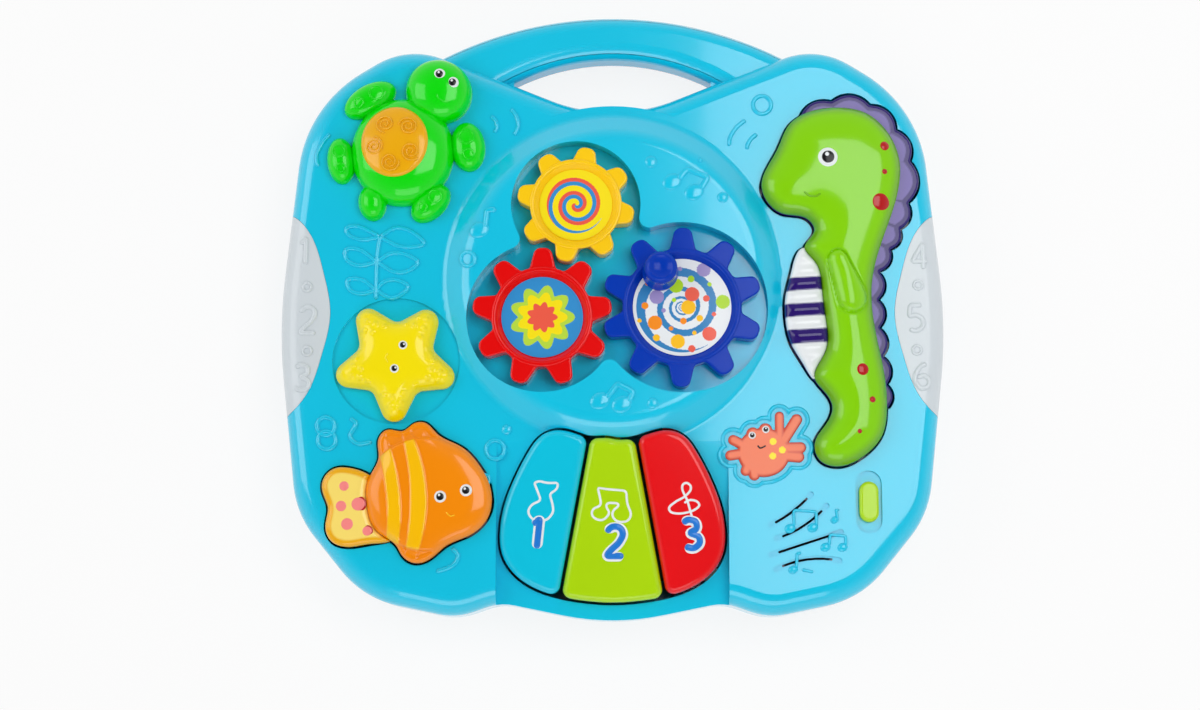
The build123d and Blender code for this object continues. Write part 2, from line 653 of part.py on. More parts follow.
def deck_openings():
    """Every recess, opening and slot that is cut down through the deck from above."""
    high = RIM_Z + OVERRUN
    slider = Pos(SLIDER_X, SLIDER_Y) * Rot(0, 0, 90) * SlotOverall(SLIDER_RECESS_LENGTH, SLIDER_RECESS_WIDTH)
    stem_slot = STEM_LENGTH + 2 * (SLIDER_TRAVEL + REST_GAP)
    cuts = [
        disc(STAR_X, STAR_Y, STAR_RECESS_RADIUS, PLATEAU_Z - STAR_RECESS_DEPTH, high),
        prism(KEY_WELL_FACE, SPLIT_Z, high),
        prism(crab_face(CRAB_MARGIN), PLATEAU_Z - CRAB_RECESS, high),
        prism(slider, PLATEAU_Z - SLIDER_RECESS_DEPTH, high),
        block(SLIDER_X, SLIDER_Y, STEM_WIDTH + 2 * REST_GAP, stem_slot, CEILING_Z - OVERRUN, high),
    ]
    cuts += [prism(panel_face(side, SEAM), SPLIT_Z, high) for side in (-1, 1)]
    return cuts + grille_slots()


def screw_bores():
    """The bores for screws, bosses and the key axle."""
    pilot = SCREW_RADIUS + SCREW_GAP
    bores = [disc(x, y, pilot, SPLIT_Z - OVERRUN, SPLIT_Z + CASE_SCREW_LENGTH / 2) for x, y in CASE_SCREWS]
    bores += [disc(x, y, pilot, AXLE_TOP_Z - GEAR_SCREW_LENGTH, RIM_Z) for name, x, y, tip in GEARS]
    turning = [(TURTLE_X, TURTLE_Y), (STAR_X, STAR_Y)]
    bores += [disc(x, y, BOSS_RADIUS + RUN_GAP, SPLIT_Z, RIM_Z) for x, y in turning]
    bores += [disc(x, y, pilot, SPLIT_Z, CEILING_Z + WALL / 2) for x, y in speaker_ears()]
    return bores + [axle_rod(KEY_AXLE_RADIUS + SCREW_GAP, KEYS_WIDTH)]


def top_shell(hull):
    """The moulded upper shell with its deck, dome, well, recesses, posts and upper handle half."""
    handle_hollow = prism(handle_face(WALL), SPLIT_Z - OVERRUN, HANDLE_TOP_Z - WALL)
    shell = hull - [handle_hollow, prism(gear_well_face(), WELL_Z, RIM_Z + OVERRUN)]
    for group in (case_posts(), gear_posts(), key_brackets()):
        shell = shell + group
    for face in button_openings():
        shell = shell - prism(face, CEILING_Z - OVERRUN, RIM_Z + OVERRUN)
    for cut in deck_openings() + screw_bores():
        shell = shell - cut
    return shell


def battery_block_size():
    """The width of the cell bay, and the width and length of the block round it."""
    bay_width = CELLS * CELL_PITCH + 2 * CELL_GAP
    return bay_width, bay_width + 2 * (DOOR_MARGIN + WALL), DOOR_LENGTH + 2 * WALL


def cell_bay_length():
    """The length of the cell bay: a cell, its spring and two contact plates."""
    return CELL_LENGTH + CELL_NUB_LENGTH + CONTACT_SPRING + 2 * (CONTACT_THICKNESS + CELL_GAP)


def door_face(gap=0):
    """The battery door's rounded rectangle."""
    width = battery_block_size()[0] + 2 * DOOR_MARGIN
    return Pos(0, BATTERY_Y) * RectangleRounded(width + 2 * gap, DOOR_LENGTH + 2 * gap, DOOR_CORNER)


def door_screw_place():
    """The plan place of the battery door's screw."""
    return (0, BATTERY_Y + DOOR_LENGTH / 2 - DOOR_SCREW_INSET)


def board_posts():
    """The plan places of every board's corner posts."""
    half_x, half_y = MAIN_BOARD_WIDTH / 2 - BOARD_POST_INSET, MAIN_BOARD_LENGTH / 2 - BOARD_POST_INSET
    places = [(sx * half_x, MAIN_BOARD_Y + sy * half_y) for sx in (-1, 1) for sy in (-1, 1)]
    fish_x = FISH_BOARD_WIDTH / 2 - BOARD_POST_INSET
    places += [(FISH_PLUNGER[0] + sx * fish_x, FISH_PLUNGER[1]) for sx in (-1, 1)]
    (ax, ay), (bx, by) = SEAHORSE_PLUNGERS
    places += [(ax + (bx - ax) * t, ay + (by - ay) * t) for t in (1 / 4, 3 / 4)]
    light_y = LIGHT_BOARD_LENGTH / 2 - BOARD_POST_INSET
    places += [(sx * LIGHT_BOARD_X, PANEL_Y + sy * light_y) for sx in (-1, 1) for sy in (-1, 1)]
    return places


def bottom_shell():
    """The moulded lower shell with the battery bay, leg sockets, screw bosses and board posts."""
    shell = fillet(top_edges(prism(CASE_FACE, BASE_Z, SPLIT_Z), BASE_Z), BASE_ROUND)
    hollow = prism(CASE_INNER_FACE, FLOOR_Z, SPLIT_Z + OVERRUN)
    hollow = fillet(top_edges(hollow, FLOOR_Z), BASE_ROUND - WALL)
    shell = shell + handle_bar(HANDLE_BOTTOM_Z, SPLIT_Z, HANDLE_BOTTOM_Z) + hand_hole_ends(HANDLE_BOTTOM_Z, SPLIT_Z)
    shell = shell - [hollow, prism(handle_face(WALL), HANDLE_BOTTOM_Z + WALL, SPLIT_Z + OVERRUN)]
    bay_width, block_width, block_length = battery_block_size()
    roof = FLOOR_Z + 2 * CELL_RADIUS + 2 * CELL_GAP
    added = [block(0, BATTERY_Y, block_width, block_length, BASE_Z, roof + WALL)]
    added += [disc(x, y, SOCKET_RADIUS + WALL, BASE_Z, BASE_Z + SOCKET_DEPTH + WALL) for x, y in SOCKETS]
    added += [disc(x, y, SCREW_HEAD_RADIUS + WALL, BASE_Z, SPLIT_Z) for x, y in CASE_SCREWS]
    added += [disc(x, y, BOARD_POST_RADIUS, BASE_Z, BOARD_Z) for x, y in board_posts()]
    shell = shell + added
    cuts = [prism(door_face(DOOR_GAP), BASE_Z - OVERRUN, FLOOR_Z)]
    cuts.append(block(0, BATTERY_Y, bay_width, cell_bay_length(), BASE_Z - OVERRUN, roof))
    cuts += [disc(x, y, SOCKET_RADIUS, BASE_Z - OVERRUN, BASE_Z + SOCKET_DEPTH) for x, y in SOCKETS]
    cuts += [disc(x, y, FOOT_RADIUS + SEAM, BASE_Z - OVERRUN, BASE_Z + FOOT_RECESS) for x, y in FEET]
    head_bore = SCREW_HEAD_RADIUS + REST_GAP
    cuts += [disc(x, y, head_bore, BASE_Z - OVERRUN, CASE_SCREW_SEAT_Z) for x, y in CASE_SCREWS]
    cuts += [disc(x, y, SCREW_RADIUS + RUN_GAP, BASE_Z, SPLIT_Z + OVERRUN) for x, y in CASE_SCREWS]
    screw_x, screw_y = door_screw_place()
    cuts.append(disc(screw_x, screw_y, SCREW_RADIUS + SCREW_GAP, BASE_Z, FLOOR_Z + DOOR_SCREW_LENGTH))
    return shell - cuts


def battery_door():
    """The flush door over the cells, with a sunk screw hole."""
    x, y = door_screw_place()
    plate = prism(door_face(), BASE_Z, FLOOR_Z)
    plate = plate - disc(x, y, SCREW_RADIUS + RUN_GAP, BASE_Z - OVERRUN, FLOOR_Z + OVERRUN)
    return plate - disc(x, y, SCREW_HEAD_RADIUS + REST_GAP, BASE_Z - OVERRUN, BASE_Z + SCREW_HEAD_HEIGHT)


def battery_door_screw():
    """The screw that keeps the battery door shut."""
    x, y = door_screw_place()
    return screw_up(x, y, BASE_Z + SCREW_HEAD_HEIGHT, DOOR_SCREW_LENGTH)


def along_y(x, z, radius, start, end):
    """A cylinder that lies along Y."""
    face = Plane.XZ.offset(-start) * Pos(x, z) * Circle(radius)
    return extrude(face, amount=end - start, dir=(0, 1, 0))


def cell_rows():
    """For each cell, its place along X and the way its positive end points."""
    return [((i - (CELLS - 1) / 2) * CELL_PITCH, 1 if i % 2 == 0 else -1) for i in range(CELLS)]


def batteries():
    """The dry cells, side by side and alternating."""
    z = FLOOR_Z + CELL_GAP + CELL_RADIUS
    cells = []
    for x, way in cell_rows():
        plus = BATTERY_Y + way * (cell_bay_length() / 2 - CONTACT_THICKNESS - CELL_GAP)
        shoulder = plus - way * CELL_NUB_LENGTH
        minus = shoulder - way * CELL_LENGTH
        low, high = sorted((minus, shoulder))
        nub_low, nub_high = sorted((shoulder, plus))
        cells.append(along_y(x, z, CELL_RADIUS, low, high) + along_y(x, z, CELL_NUB_RADIUS, nub_low, nub_high))
    return cells


def battery_contacts():
    """A plate at the positive end of each cell and a sprung plate at its negative end."""
    z = FLOOR_Z + CELL_GAP + CELL_RADIUS
    half = cell_bay_length() / 2
    contacts = []
    for x, way in cell_rows():
        plus = BATTERY_Y + way * (half - CONTACT_THICKNESS / 2)
        minus = BATTERY_Y - way * (half - CONTACT_THICKNESS / 2)
        size = (CONTACT_WIDTH, CONTACT_THICKNESS, CONTACT_HEIGHT)
        contacts.append(Pos(x, plus, z) * Box(*size))
        inner = BATTERY_Y - way * (half - CONTACT_THICKNESS)
        low, high = sorted((inner, inner + way * CONTACT_SPRING))
        contacts.append(Pos(x, minus, z) * Box(*size) + along_y(x, z, CONTACT_SPRING_RADIUS, low, high))
    return contacts


def gear_phase(name):
    """The direction of a gear's first tooth: teeth meet gaps on the centre lines, then all turn a little."""
    to_red = math.degrees(math.atan2(RED_Y - BLUE_Y, RED_X - BLUE_X))
    blue = to_red + 180 / BLUE_TEETH
    red = to_red + 180
    to_yellow = math.degrees(math.atan2(YELLOW_Y - RED_Y, YELLOW_X - RED_X))
    pitch = 360 / RED_TEETH
    past_tooth = ((to_yellow - red) / pitch) % 1
    yellow = to_yellow + 180 + (past_tooth - 1 / 2) * 360 / YELLOW_TEETH
    turns = {"blue": -GEAR_REST_TURN, "red": GEAR_REST_TURN * BLUE_TEETH / RED_TEETH,
             "yellow": -GEAR_REST_TURN * BLUE_TEETH / YELLOW_TEETH}
    return {"blue": blue, "red": red, "yellow": yellow}[name] + turns[name]


def gear_face(teeth, tip, root, phase):
    """A gear outline: tapering teeth with rounded tips and rounded roots."""
    points = []
    for i in range(teeth):
        turn = math.radians(phase + 360 * i / teeth)
        root_along = math.sqrt(root**2 - (TOOTH_ROOT_WIDTH / 2) ** 2)
        local = [(root_along, -TOOTH_ROOT_WIDTH), (tip, -TOOTH_TIP_WIDTH), (tip, TOOTH_TIP_WIDTH),
                 (root_along, TOOTH_ROOT_WIDTH)]
        for along, width in local:
            across = width / 2
            points.append((along * math.cos(turn) - across * math.sin(turn),
                           along * math.sin(turn) + across * math.cos(turn)))
    face = make_face(Polyline(*points, close=True))
    middle = (tip + root) / 2
    face = fillet(face.vertices().filter_by(lambda v: math.hypot(v.X, v.Y) > middle), TOOTH_TIP_ROUND)
    inner = face.vertices().filter_by(lambda v: abs(math.hypot(v.X, v.Y) - root) < RUN_GAP)
    return fillet(inner, TOOTH_ROOT_ROUND)


def gear(name, x, y, teeth, tip, root, dish):
    """A gear with a dished face, a hollow back, a hub bore and a sunk seat for its washer."""
    body = prism(gear_face(teeth, tip, root, gear_phase(name)), GEAR_BOTTOM_Z, GEAR_TOP_Z)
    body = fillet(top_edges(body, GEAR_TOP_Z), GEAR_EDGE)
    seat = Align.CENTER, Align.CENTER, Align.MIN
    bowl = Pos(0, 0, DISH_Z) * Cone(dish, dish + DISH_SLOPE, DISH_DEPTH, align=seat)
    body = body - bowl
    back = disc(0, 0, root - GEAR_RIM, GEAR_BOTTOM_Z - OVERRUN, COUNTERBORE_Z)
    body = body - (back - disc(0, 0, HUB_RADIUS, GEAR_BOTTOM_Z - OVERRUN, GEAR_TOP_Z))
    body = body - disc(0, 0, AXLE_RADIUS + RUN_GAP, GEAR_BOTTOM_Z - OVERRUN, GEAR_TOP_Z)
    return Pos(x, y) * (body - disc(0, 0, WASHER_RADIUS + COUNTERBORE_GAP, COUNTERBORE_Z, GEAR_TOP_Z))


def knob_place():
    """The crank knob's plan place on the blue gear."""
    turn = math.radians(KNOB_ANGLE)
    return (BLUE_X + KNOB_ORBIT * math.cos(turn), BLUE_Y + KNOB_ORBIT * math.sin(turn))


def blue_gear():
    """The driving gear, with a boss in its dish that carries the crank knob."""
    x, y = knob_place()
    body = gear("blue", BLUE_X, BLUE_Y, BLUE_TEETH, BLUE_TIP, BLUE_ROOT, BLUE_DISH)
    body = body + disc(x, y, KNOB_RADIUS, DISH_Z, GEAR_TOP_Z)
    return body - disc(x, y, KNOB_PEG_RADIUS + SCREW_GAP, GEAR_TOP_Z - KNOB_PEG_LENGTH, GEAR_TOP_Z + OVERRUN)


def crank_knob():
    """The finger knob: a waisted drum with a rounded, dished top and a peg below."""
    x, y = knob_place()
    half = KNOB_HEIGHT / 2
    waist = KNOB_RADIUS - KNOB_WAIST
    side = ThreePointArc((KNOB_RADIUS, 0), (waist, half), (KNOB_RADIUS, KNOB_HEIGHT))
    profile = [Line((0, 0), (KNOB_RADIUS, 0)), side, Line((KNOB_RADIUS, KNOB_HEIGHT), (0, KNOB_HEIGHT)),
               Line((0, KNOB_HEIGHT), (0, 0))]
    drum = revolve(Plane.XZ * make_face(profile), Axis.Z)
    drum = fillet(top_edges(drum, KNOB_HEIGHT), KNOB_EDGE)
    ball = (KNOB_DISH_RADIUS**2 + KNOB_DISH_DEPTH**2) / (2 * KNOB_DISH_DEPTH)
    drum = drum - Pos(0, 0, KNOB_HEIGHT + ball - KNOB_DISH_DEPTH) * Sphere(ball)
    drum = drum + disc(0, 0, KNOB_PEG_RADIUS, SEAM - KNOB_PEG_LENGTH, 0)
    return Pos(x, y, GEAR_TOP_Z) * drum


def gear_label(x, y, dish):
    """The round printed label in a gear's dish."""
    return disc(x, y, dish - SEAM, DISH_Z, DISH_Z + LABEL_THICKNESS)


def blue_gear_label():
    """The driving gear's label, cut away round the knob's boss."""
    x, y = knob_place()
    return gear_label(BLUE_X, BLUE_Y, BLUE_DISH) - disc(x, y, KNOB_RADIUS + SEAM, DISH_Z - OVERRUN, GEAR_TOP_Z)


def gear_washers():
    """The washers that keep the gears on their posts."""
    return [disc(x, y, WASHER_RADIUS, AXLE_TOP_Z, AXLE_TOP_Z + WASHER_THICKNESS)
            - disc(x, y, SCREW_RADIUS + RUN_GAP, WELL_Z, RIM_Z) for name, x, y, tip in GEARS]


def gear_screws():
    """The screws through the gear washers."""
    length = GEAR_SCREW_LENGTH + WASHER_THICKNESS - AXIAL_PLAY
    return [screw_down(x, y, AXLE_TOP_Z + WASHER_THICKNESS, length) for name, x, y, tip in GEARS]


def half_egg(length, width, sink, turn):
    """A limb: an egg round a level long axis, sunk a little below its base plane."""
    arc = EllipticalCenterArc((0, 0), length, width, start_angle=0, arc_size=HALF_TURN)
    half = make_face([arc, Line((-length, 0), (length, 0))])
    return Rot(0, 0, turn) * Pos(0, 0, -sink) * revolve(half, Axis.X)


def turtle_base_z():
    """The level of the turtle's underside."""
    return PLATEAU_Z + REST_GAP


def turtle_mound(extra=0):
    """The turtle's rounded back: the cap of a ball, about its own centre and base."""
    ball = (TURTLE_RADIUS**2 + TURTLE_HEIGHT**2) / (2 * TURTLE_HEIGHT)
    whole = Pos(0, 0, TURTLE_HEIGHT - ball) * Sphere(ball + extra)
    return whole - block(0, 0, 4 * ball, 4 * ball, -4 * ball, 0)


def turtle_shell_face(gap=0):
    """The round of the turtle's shell plate."""
    return Pos(TURTLE_SHELL_X, TURTLE_SHELL_Y) * Circle(TURTLE_SHELL_RADIUS + gap)


def turtle_body():
    """The turtle: back, head and limbs in one, turning on a boss that passes through the deck."""
    head = place(TURTLE_HEAD_SHARE, TURTLE_RADIUS, TURTLE_RADIUS)
    form = turtle_mound() + Pos(*head, -TURTLE_HEAD_SINK) * Sphere(TURTLE_HEAD_RADIUS)
    for sx, sy, length, width, turn in LIMB_SHARES:
        limb = half_egg(length * TURTLE_RADIUS, width * TURTLE_RADIUS, LIMB_SINK, turn)
        form = form + Pos(*place((sx, sy), TURTLE_RADIUS, TURTLE_RADIUS)) * limb
    reach = 4 * TURTLE_RADIUS
    form = form - block(0, 0, reach, reach, -TURTLE_HEIGHT - TURTLE_RADIUS, 0)
    form = form - prism(turtle_shell_face(SEAM), TURTLE_SHELL_SEAT, TURTLE_HEIGHT + OVERRUN)
    form = Pos(TURTLE_X, TURTLE_Y, turtle_base_z()) * form
    boss_end = CEILING_Z - AXIAL_PLAY
    form = form + disc(TURTLE_X, TURTLE_Y, BOSS_RADIUS, boss_end, turtle_base_z())
    bore_top = boss_end + BOSS_SCREW_LENGTH
    return form - disc(TURTLE_X, TURTLE_Y, SCREW_RADIUS + SCREW_GAP, boss_end - OVERRUN, bore_top)


def turtle_shell():
    """The amber plate set into the turtle's back, a little proud of it."""
    plate = prism(turtle_shell_face(), TURTLE_SHELL_SEAT, TURTLE_HEIGHT + OVERRUN)
    plate = plate & turtle_mound(TURTLE_SHELL_PROUD)
    return Pos(TURTLE_X, TURTLE_Y, turtle_base_z()) * plate


def boss_washer(x, y, top):
    """The washer that keeps a turning button in the deck."""
    ring = disc(x, y, BOSS_RADIUS + WALL, top - WASHER_THICKNESS, top)
    return ring - disc(x, y, SCREW_RADIUS + RUN_GAP, top - OVERRUN, top + OVERRUN)


def boss_screw(x, y, top):
    """The screw through a turning button's washer."""
    return screw_up(x, y, top - WASHER_THICKNESS, BOSS_SCREW_LENGTH + WASHER_THICKNESS - AXIAL_PLAY)


def star_boss_z():
    """The level where the star's boss ends under its recess."""
    return PLATEAU_Z - STAR_RECESS_DEPTH - WALL - AXIAL_PLAY


def star():
    """The five-pointed star button, turning on a boss."""
    points = []
    for i in range(2 * STAR_POINTS):
        reach = STAR_TIP if i % 2 == 0 else STAR_NOTCH
        turn = math.radians(STAR_PHASE + 180 * i / STAR_POINTS)
        points.append((reach * math.cos(turn), reach * math.sin(turn)))
    face = make_face(Polyline(*points, close=True))
    middle = (STAR_TIP + STAR_NOTCH) / 2
    face = fillet(face.vertices().filter_by(lambda v: math.hypot(v.X, v.Y) > middle), STAR_TIP_ROUND)
    notches = face.vertices().filter_by(lambda v: math.hypot(v.X, v.Y) < STAR_NOTCH + RUN_GAP)
    face = fillet(notches, STAR_NOTCH_ROUND)
    base = PLATEAU_Z - STAR_RECESS_DEPTH + REST_GAP
    form = fillet(top_edges(prism(face, base, base + STAR_HEIGHT), base + STAR_HEIGHT), STAR_EDGE)
    form = Pos(STAR_X, STAR_Y) * form + disc(STAR_X, STAR_Y, BOSS_RADIUS, star_boss_z(), base)
    pilot_top = star_boss_z() + BOSS_SCREW_LENGTH
    return form - disc(STAR_X, STAR_Y, SCREW_RADIUS + SCREW_GAP, star_boss_z() - OVERRUN, pilot_top)


def fish_body():
    """The fish: a crowned button with a plunger that passes through its pocket's floor."""
    x, y = FISH_PLUNGER
    top = PLATEAU_Z + FISH_TOP_RISE
    form = prism(FISH_FACE, BUTTON_Z, top) & (Pos(x, y, top - FISH_CROWN_RADIUS) * Sphere(FISH_CROWN_RADIUS))
    rim = form.faces().sort_by(Axis.Z)[-1].edges()
    form = fillet(rim, FISH_EDGE)
    return form + disc(x, y, PLUNGER_RADIUS, PLUNGER_Z, BUTTON_Z)


def fish_tail():
    """The spotted tail, snapped against the fish's body."""
    face = FISH_TAIL_FACE - outline(FISH_SHARES, *FISH_SIZE, SEAM)
    top = PLATEAU_Z + FISH_TAIL_RISE
    return prism(face, BUTTON_Z, top)


def retaining_bar(plunger, middle, length, width):
    """A flat bar clipped on a plunger, whose ends catch under the deck on both sides of the opening."""
    x, y = plunger
    low = BUTTON_Z - BAR_THICKNESS
    strip = block(middle, y, length, width, low, BUTTON_Z)
    return strip - disc(x, y, PLUNGER_RADIUS, low - OVERRUN, BUTTON_Z + OVERRUN)


def seahorse_fin():
    """The scalloped back plate that carries the seahorse, with its two plungers."""
    plate = prism(FIN_FACE, BUTTON_Z, PLATEAU_Z + SEAHORSE_FIN_RISE)
    return plate + joined([disc(x, y, PLUNGER_RADIUS, PLUNGER_Z, BUTTON_Z) for x, y in SEAHORSE_PLUNGERS])


def seahorse_bars():
    """The two retaining bars across the seahorse's opening."""
    bars = []
    for plunger, (middle, length) in zip(SEAHORSE_PLUNGERS, SEAHORSE_BAR_SHARES):
        x = SEAHORSE_X + middle * SEAHORSE_WIDTH
        bars.append(retaining_bar(plunger, x, length * SEAHORSE_WIDTH, BAR_WIDTH))
    return bars


def seahorse_body():
    """The seahorse's body, raised on the fin plate."""
    low, high = PLATEAU_Z + SEAHORSE_FIN_RISE, PLATEAU_Z + SEAHORSE_RISE
    return fillet(top_edges(prism(SEAHORSE_FACE, low, high), high), SEAHORSE_EDGE)


def seahorse_belly():
    """The striped belly beside the body, on the same plate."""
    low, high = PLATEAU_Z + SEAHORSE_FIN_RISE, PLATEAU_Z + SEAHORSE_BELLY_RISE
    return prism(BELLY_FACE - outline(SEAHORSE_SHARES, *SEAHORSE_SIZE, SEAM), low, high)


def key_face(index, inset=0):
    """The plan area of one key: its share of the key field, with rounded corners, less an inset all round."""
    top_y, low_y = KEYS_Y + KEYS_LENGTH, KEYS_Y - KEYS_LENGTH
    span = KEYS_LENGTH
    lean = (KEY_OUTER_DIVIDE_SHARE - KEY_INNER_DIVIDE_SHARE) * KEYS_WIDTH / span
    middle_x = (KEY_OUTER_DIVIDE_SHARE + KEY_INNER_DIVIDE_SHARE) / 2 * KEYS_WIDTH
    high_x, low_x = middle_x - lean * KEYS_LENGTH, middle_x + lean * KEYS_LENGTH
    half_gap = KEY_GAP / 2 + inset
    far = KEYS_WIDTH
    if index == 1:
        corners = [(-high_x + half_gap, top_y), (high_x - half_gap, top_y), (low_x - half_gap, low_y),
                   (-low_x + half_gap, low_y)]
    else:
        side = index - 1
        corners = [(side * (high_x + half_gap), top_y), (side * far, top_y), (side * far, low_y),
                   (side * (low_x + half_gap), low_y)]
    field = outline(mirrored(KEYS_HALF_SHARES), *KEYS_SIZE, -inset)
    face = field & make_face(Polyline(*corners, close=True))
    return fillet(face.vertices(), KEY_CORNER - inset)


def below_slope(rise):
    """The space under a plane that runs parallel to the apron at a height above it."""
    front, back = -HALF_DEPTH - OVERRUN, KEYS_Y + KEYS_LENGTH
    floor = SPLIT_Z - OVERRUN
    levels = [PLATEAU_Z + rise + APRON_SLOPE * (y - APRON_Y) for y in (front, back)]
    side = Polyline((front, floor), (front, levels[0]), (back, levels[1]), (back, floor), close=True)
    return extrude(Plane.YZ.offset(-KEYS_WIDTH) * make_face(side), amount=2 * KEYS_WIDTH)


def key(index):
    """A hollow key with a sloping top, a plunger below and an arm back to the axle."""
    face = key_face(index)
    high = RIM_Z + OVERRUN
    form = prism(face, KEY_BOTTOM_Z, high) & below_slope(KEY_PROUD)
    slope = form.faces().sort_by(Axis.Z)[-1]
    form = fillet(slope.edges(), KEY_EDGE)
    hollow = prism(key_face(index, WALL), KEY_BOTTOM_Z - OVERRUN, high) & below_slope(KEY_PROUD - WALL)
    form = form - hollow
    x, y = KEY_PLUNGERS[index]
    form = form + disc(x, y, KEY_PLUNGER_RADIUS, PLUNGER_Z, apron_z(y) + KEY_PROUD - WALL / 2)
    arm_x = KEY_ARMS[index]
    arm_front = KEYS_Y + KEYS_LENGTH / 2 - 2 * KEY_CORNER - WALL
    length = KEY_AXLE_Y - arm_front
    arm_y = (KEY_AXLE_Y + arm_front) / 2
    arm = block(arm_x, arm_y, KEY_ARM_WIDTH, length, KEY_AXLE_Z - KEY_ARM_RADIUS, KEY_AXLE_Z + KEY_ARM_RADIUS)
    eye = Plane.YZ.offset(arm_x - KEY_ARM_WIDTH / 2) * Pos(KEY_AXLE_Y, KEY_AXLE_Z) * Circle(KEY_ARM_RADIUS)
    form = form + arm + extrude(eye, amount=KEY_ARM_WIDTH)
    return form - axle_rod(KEY_AXLE_RADIUS + RUN_GAP, KEYS_WIDTH)


def key_axle():
    """The rod that the three keys turn on."""
    return axle_rod(KEY_AXLE_RADIUS, BRACKETS[-1] - BRACKETS[0] + BRACKET_WIDTH)


def dome_switch(x, y):
    """A rubber dome that lifts a button and closes its contact."""
    form = Cone(DOME_SWITCH_RADIUS, DOME_SWITCH_TOP_RADIUS, DOME_SWITCH_HEIGHT,
                align=(Align.CENTER, Align.CENTER, Align.MIN))
    return Pos(x, y, BOARD_TOP_Z) * form


def volume_slider():
    """The sliding thumb with a stem through the deck."""
    low = PLATEAU_Z - SLIDER_RECESS_DEPTH + AXIAL_PLAY
    thumb = prism(Pos(SLIDER_X, SLIDER_Y) * Rot(0, 0, 90) * SlotOverall(SLIDER_LENGTH, SLIDER_WIDTH), low,
                  low + SLIDER_HEIGHT)
    thumb = fillet(top_edges(thumb, low + SLIDER_HEIGHT), SLIDER_EDGE)
    return thumb + block(SLIDER_X, SLIDER_Y, STEM_WIDTH, STEM_LENGTH, low - STEM_DEPTH, low)


def volume_switch():
    """The slide switch under the deck, with a trough for the thumb's stem."""
    top = PLATEAU_Z - SLIDER_RECESS_DEPTH - WALL
    frame = block(SLIDER_X, SLIDER_Y, SWITCH_WIDTH + 2 * WALL, SWITCH_LENGTH + 2 * WALL, top - SWITCH_FRAME, top)
    can = block(SLIDER_X, SLIDER_Y, SWITCH_WIDTH, SWITCH_LENGTH, top - SWITCH_DEPTH, top)
    slot_length = STEM_LENGTH + 2 * (SLIDER_TRAVEL + REST_GAP)
    trough_z = PLATEAU_Z - SLIDER_RECESS_DEPTH - STEM_DEPTH
    trough = block(SLIDER_X, SLIDER_Y, STEM_WIDTH + 2 * REST_GAP, slot_length, trough_z, RIM_Z)
    return frame + can - trough


def crab_limb(start_x, start_y, end_x, end_y, width):
    """A rounded bar between two places of the crab."""
    along, aside = end_x - start_x, end_y - start_y
    slot = SlotCenterToCenter(math.hypot(along, aside), width, rotation=math.degrees(math.atan2(aside, along)))
    return Pos((start_x + end_x) / 2, (start_y + end_y) / 2) * slot


def crab_face(margin=0):
    """A plain crab outline, grown by a margin: an oval body, two round brows, two claws and short legs."""
    x, y, half_width, half_height = [share * CRAB_WIDTH for share in CRAB_BODY_SHARES]
    pieces = [Pos(x, y) * Ellipse(half_width + margin, half_height + margin)]
    for shares in CRAB_BROW_SHARES:
        x, y, radius = [share * CRAB_WIDTH for share in shares]
        pieces.append(Pos(x, y) * Circle(radius + margin))
    for shares in CRAB_LIMB_SHARES:
        *ends, radius = [share * CRAB_WIDTH for share in shares]
        pieces.append(crab_limb(*ends, 2 * (radius + margin)))
    return Pos(CRAB_X, CRAB_Y) * joined(pieces)


def crab_badge():
    """The flat crab set in its shallow recess."""
    low = PLATEAU_Z - CRAB_RECESS
    return prism(crab_face(), low, low + CRAB_THICKNESS)


def speaker_frame():
    """The speaker's basket: a flange under the deck, a sloping wall and a floor for the magnet."""
    inner_top = SPEAKER_RADIUS - SPEAKER_FLANGE
    top, low = CEILING_Z, CEILING_Z - SPEAKER_DEPTH
    flange = disc(SPEAKER_X, SPEAKER_Y, SPEAKER_RADIUS, top - SPEAKER_FLANGE_THICKNESS, top)
    for x, y in speaker_ears():
        ear = disc(x, y, SPEAKER_EAR_RADIUS, top - SPEAKER_FLANGE_THICKNESS, top)
        lug_face = Pos((x + SPEAKER_X) / 2, (y + SPEAKER_Y) / 2) * Rot(0, 0, SPEAKER_TURN) * Rectangle(
            SPEAKER_RADIUS, 2 * SPEAKER_EAR_RADIUS)
        flange = flange + ear + prism(lug_face, top - SPEAKER_FLANGE_THICKNESS, top)
    seat = Align.CENTER, Align.CENTER, Align.MIN
    wall = Pos(SPEAKER_X, SPEAKER_Y, low) * Cone(MAGNET_RADIUS + SPEAKER_WALL, inner_top + SPEAKER_WALL,
                                                 SPEAKER_DEPTH, align=seat)
    bowl = Cone(MAGNET_RADIUS, inner_top, SPEAKER_DEPTH - SPEAKER_WALL, align=seat)
    bowl = Pos(SPEAKER_X, SPEAKER_Y, low + SPEAKER_WALL) * bowl
    frame = flange + wall - bowl
    frame = frame - disc(SPEAKER_X, SPEAKER_Y, inner_top, top - SPEAKER_WALL, top + OVERRUN)
    for x, y in speaker_ears():
        frame = frame - disc(x, y, SCREW_RADIUS + RUN_GAP, top - OVERRUN, top + OVERRUN)
    return frame


def speaker_cone():
    """The paper cone with its dust cap, glued to the basket's rim."""
    rim = SPEAKER_RADIUS - SPEAKER_FLANGE - SEAM
    neck = rim - CONE_RIM
    ledge, low = CEILING_Z - SPEAKER_WALL, CEILING_Z - SPEAKER_DEPTH + 2 * SPEAKER_WALL
    under = [(0, low), (CONE_CAP_RADIUS, low), (neck, ledge), (rim, ledge)]
    over = [(x, z + CONE_THICKNESS) for x, z in reversed(under)]
    profile = make_face(Polyline(*under, *over, close=True))
    return Pos(SPEAKER_X, SPEAKER_Y) * revolve(Plane.XZ * profile, Axis.Z)


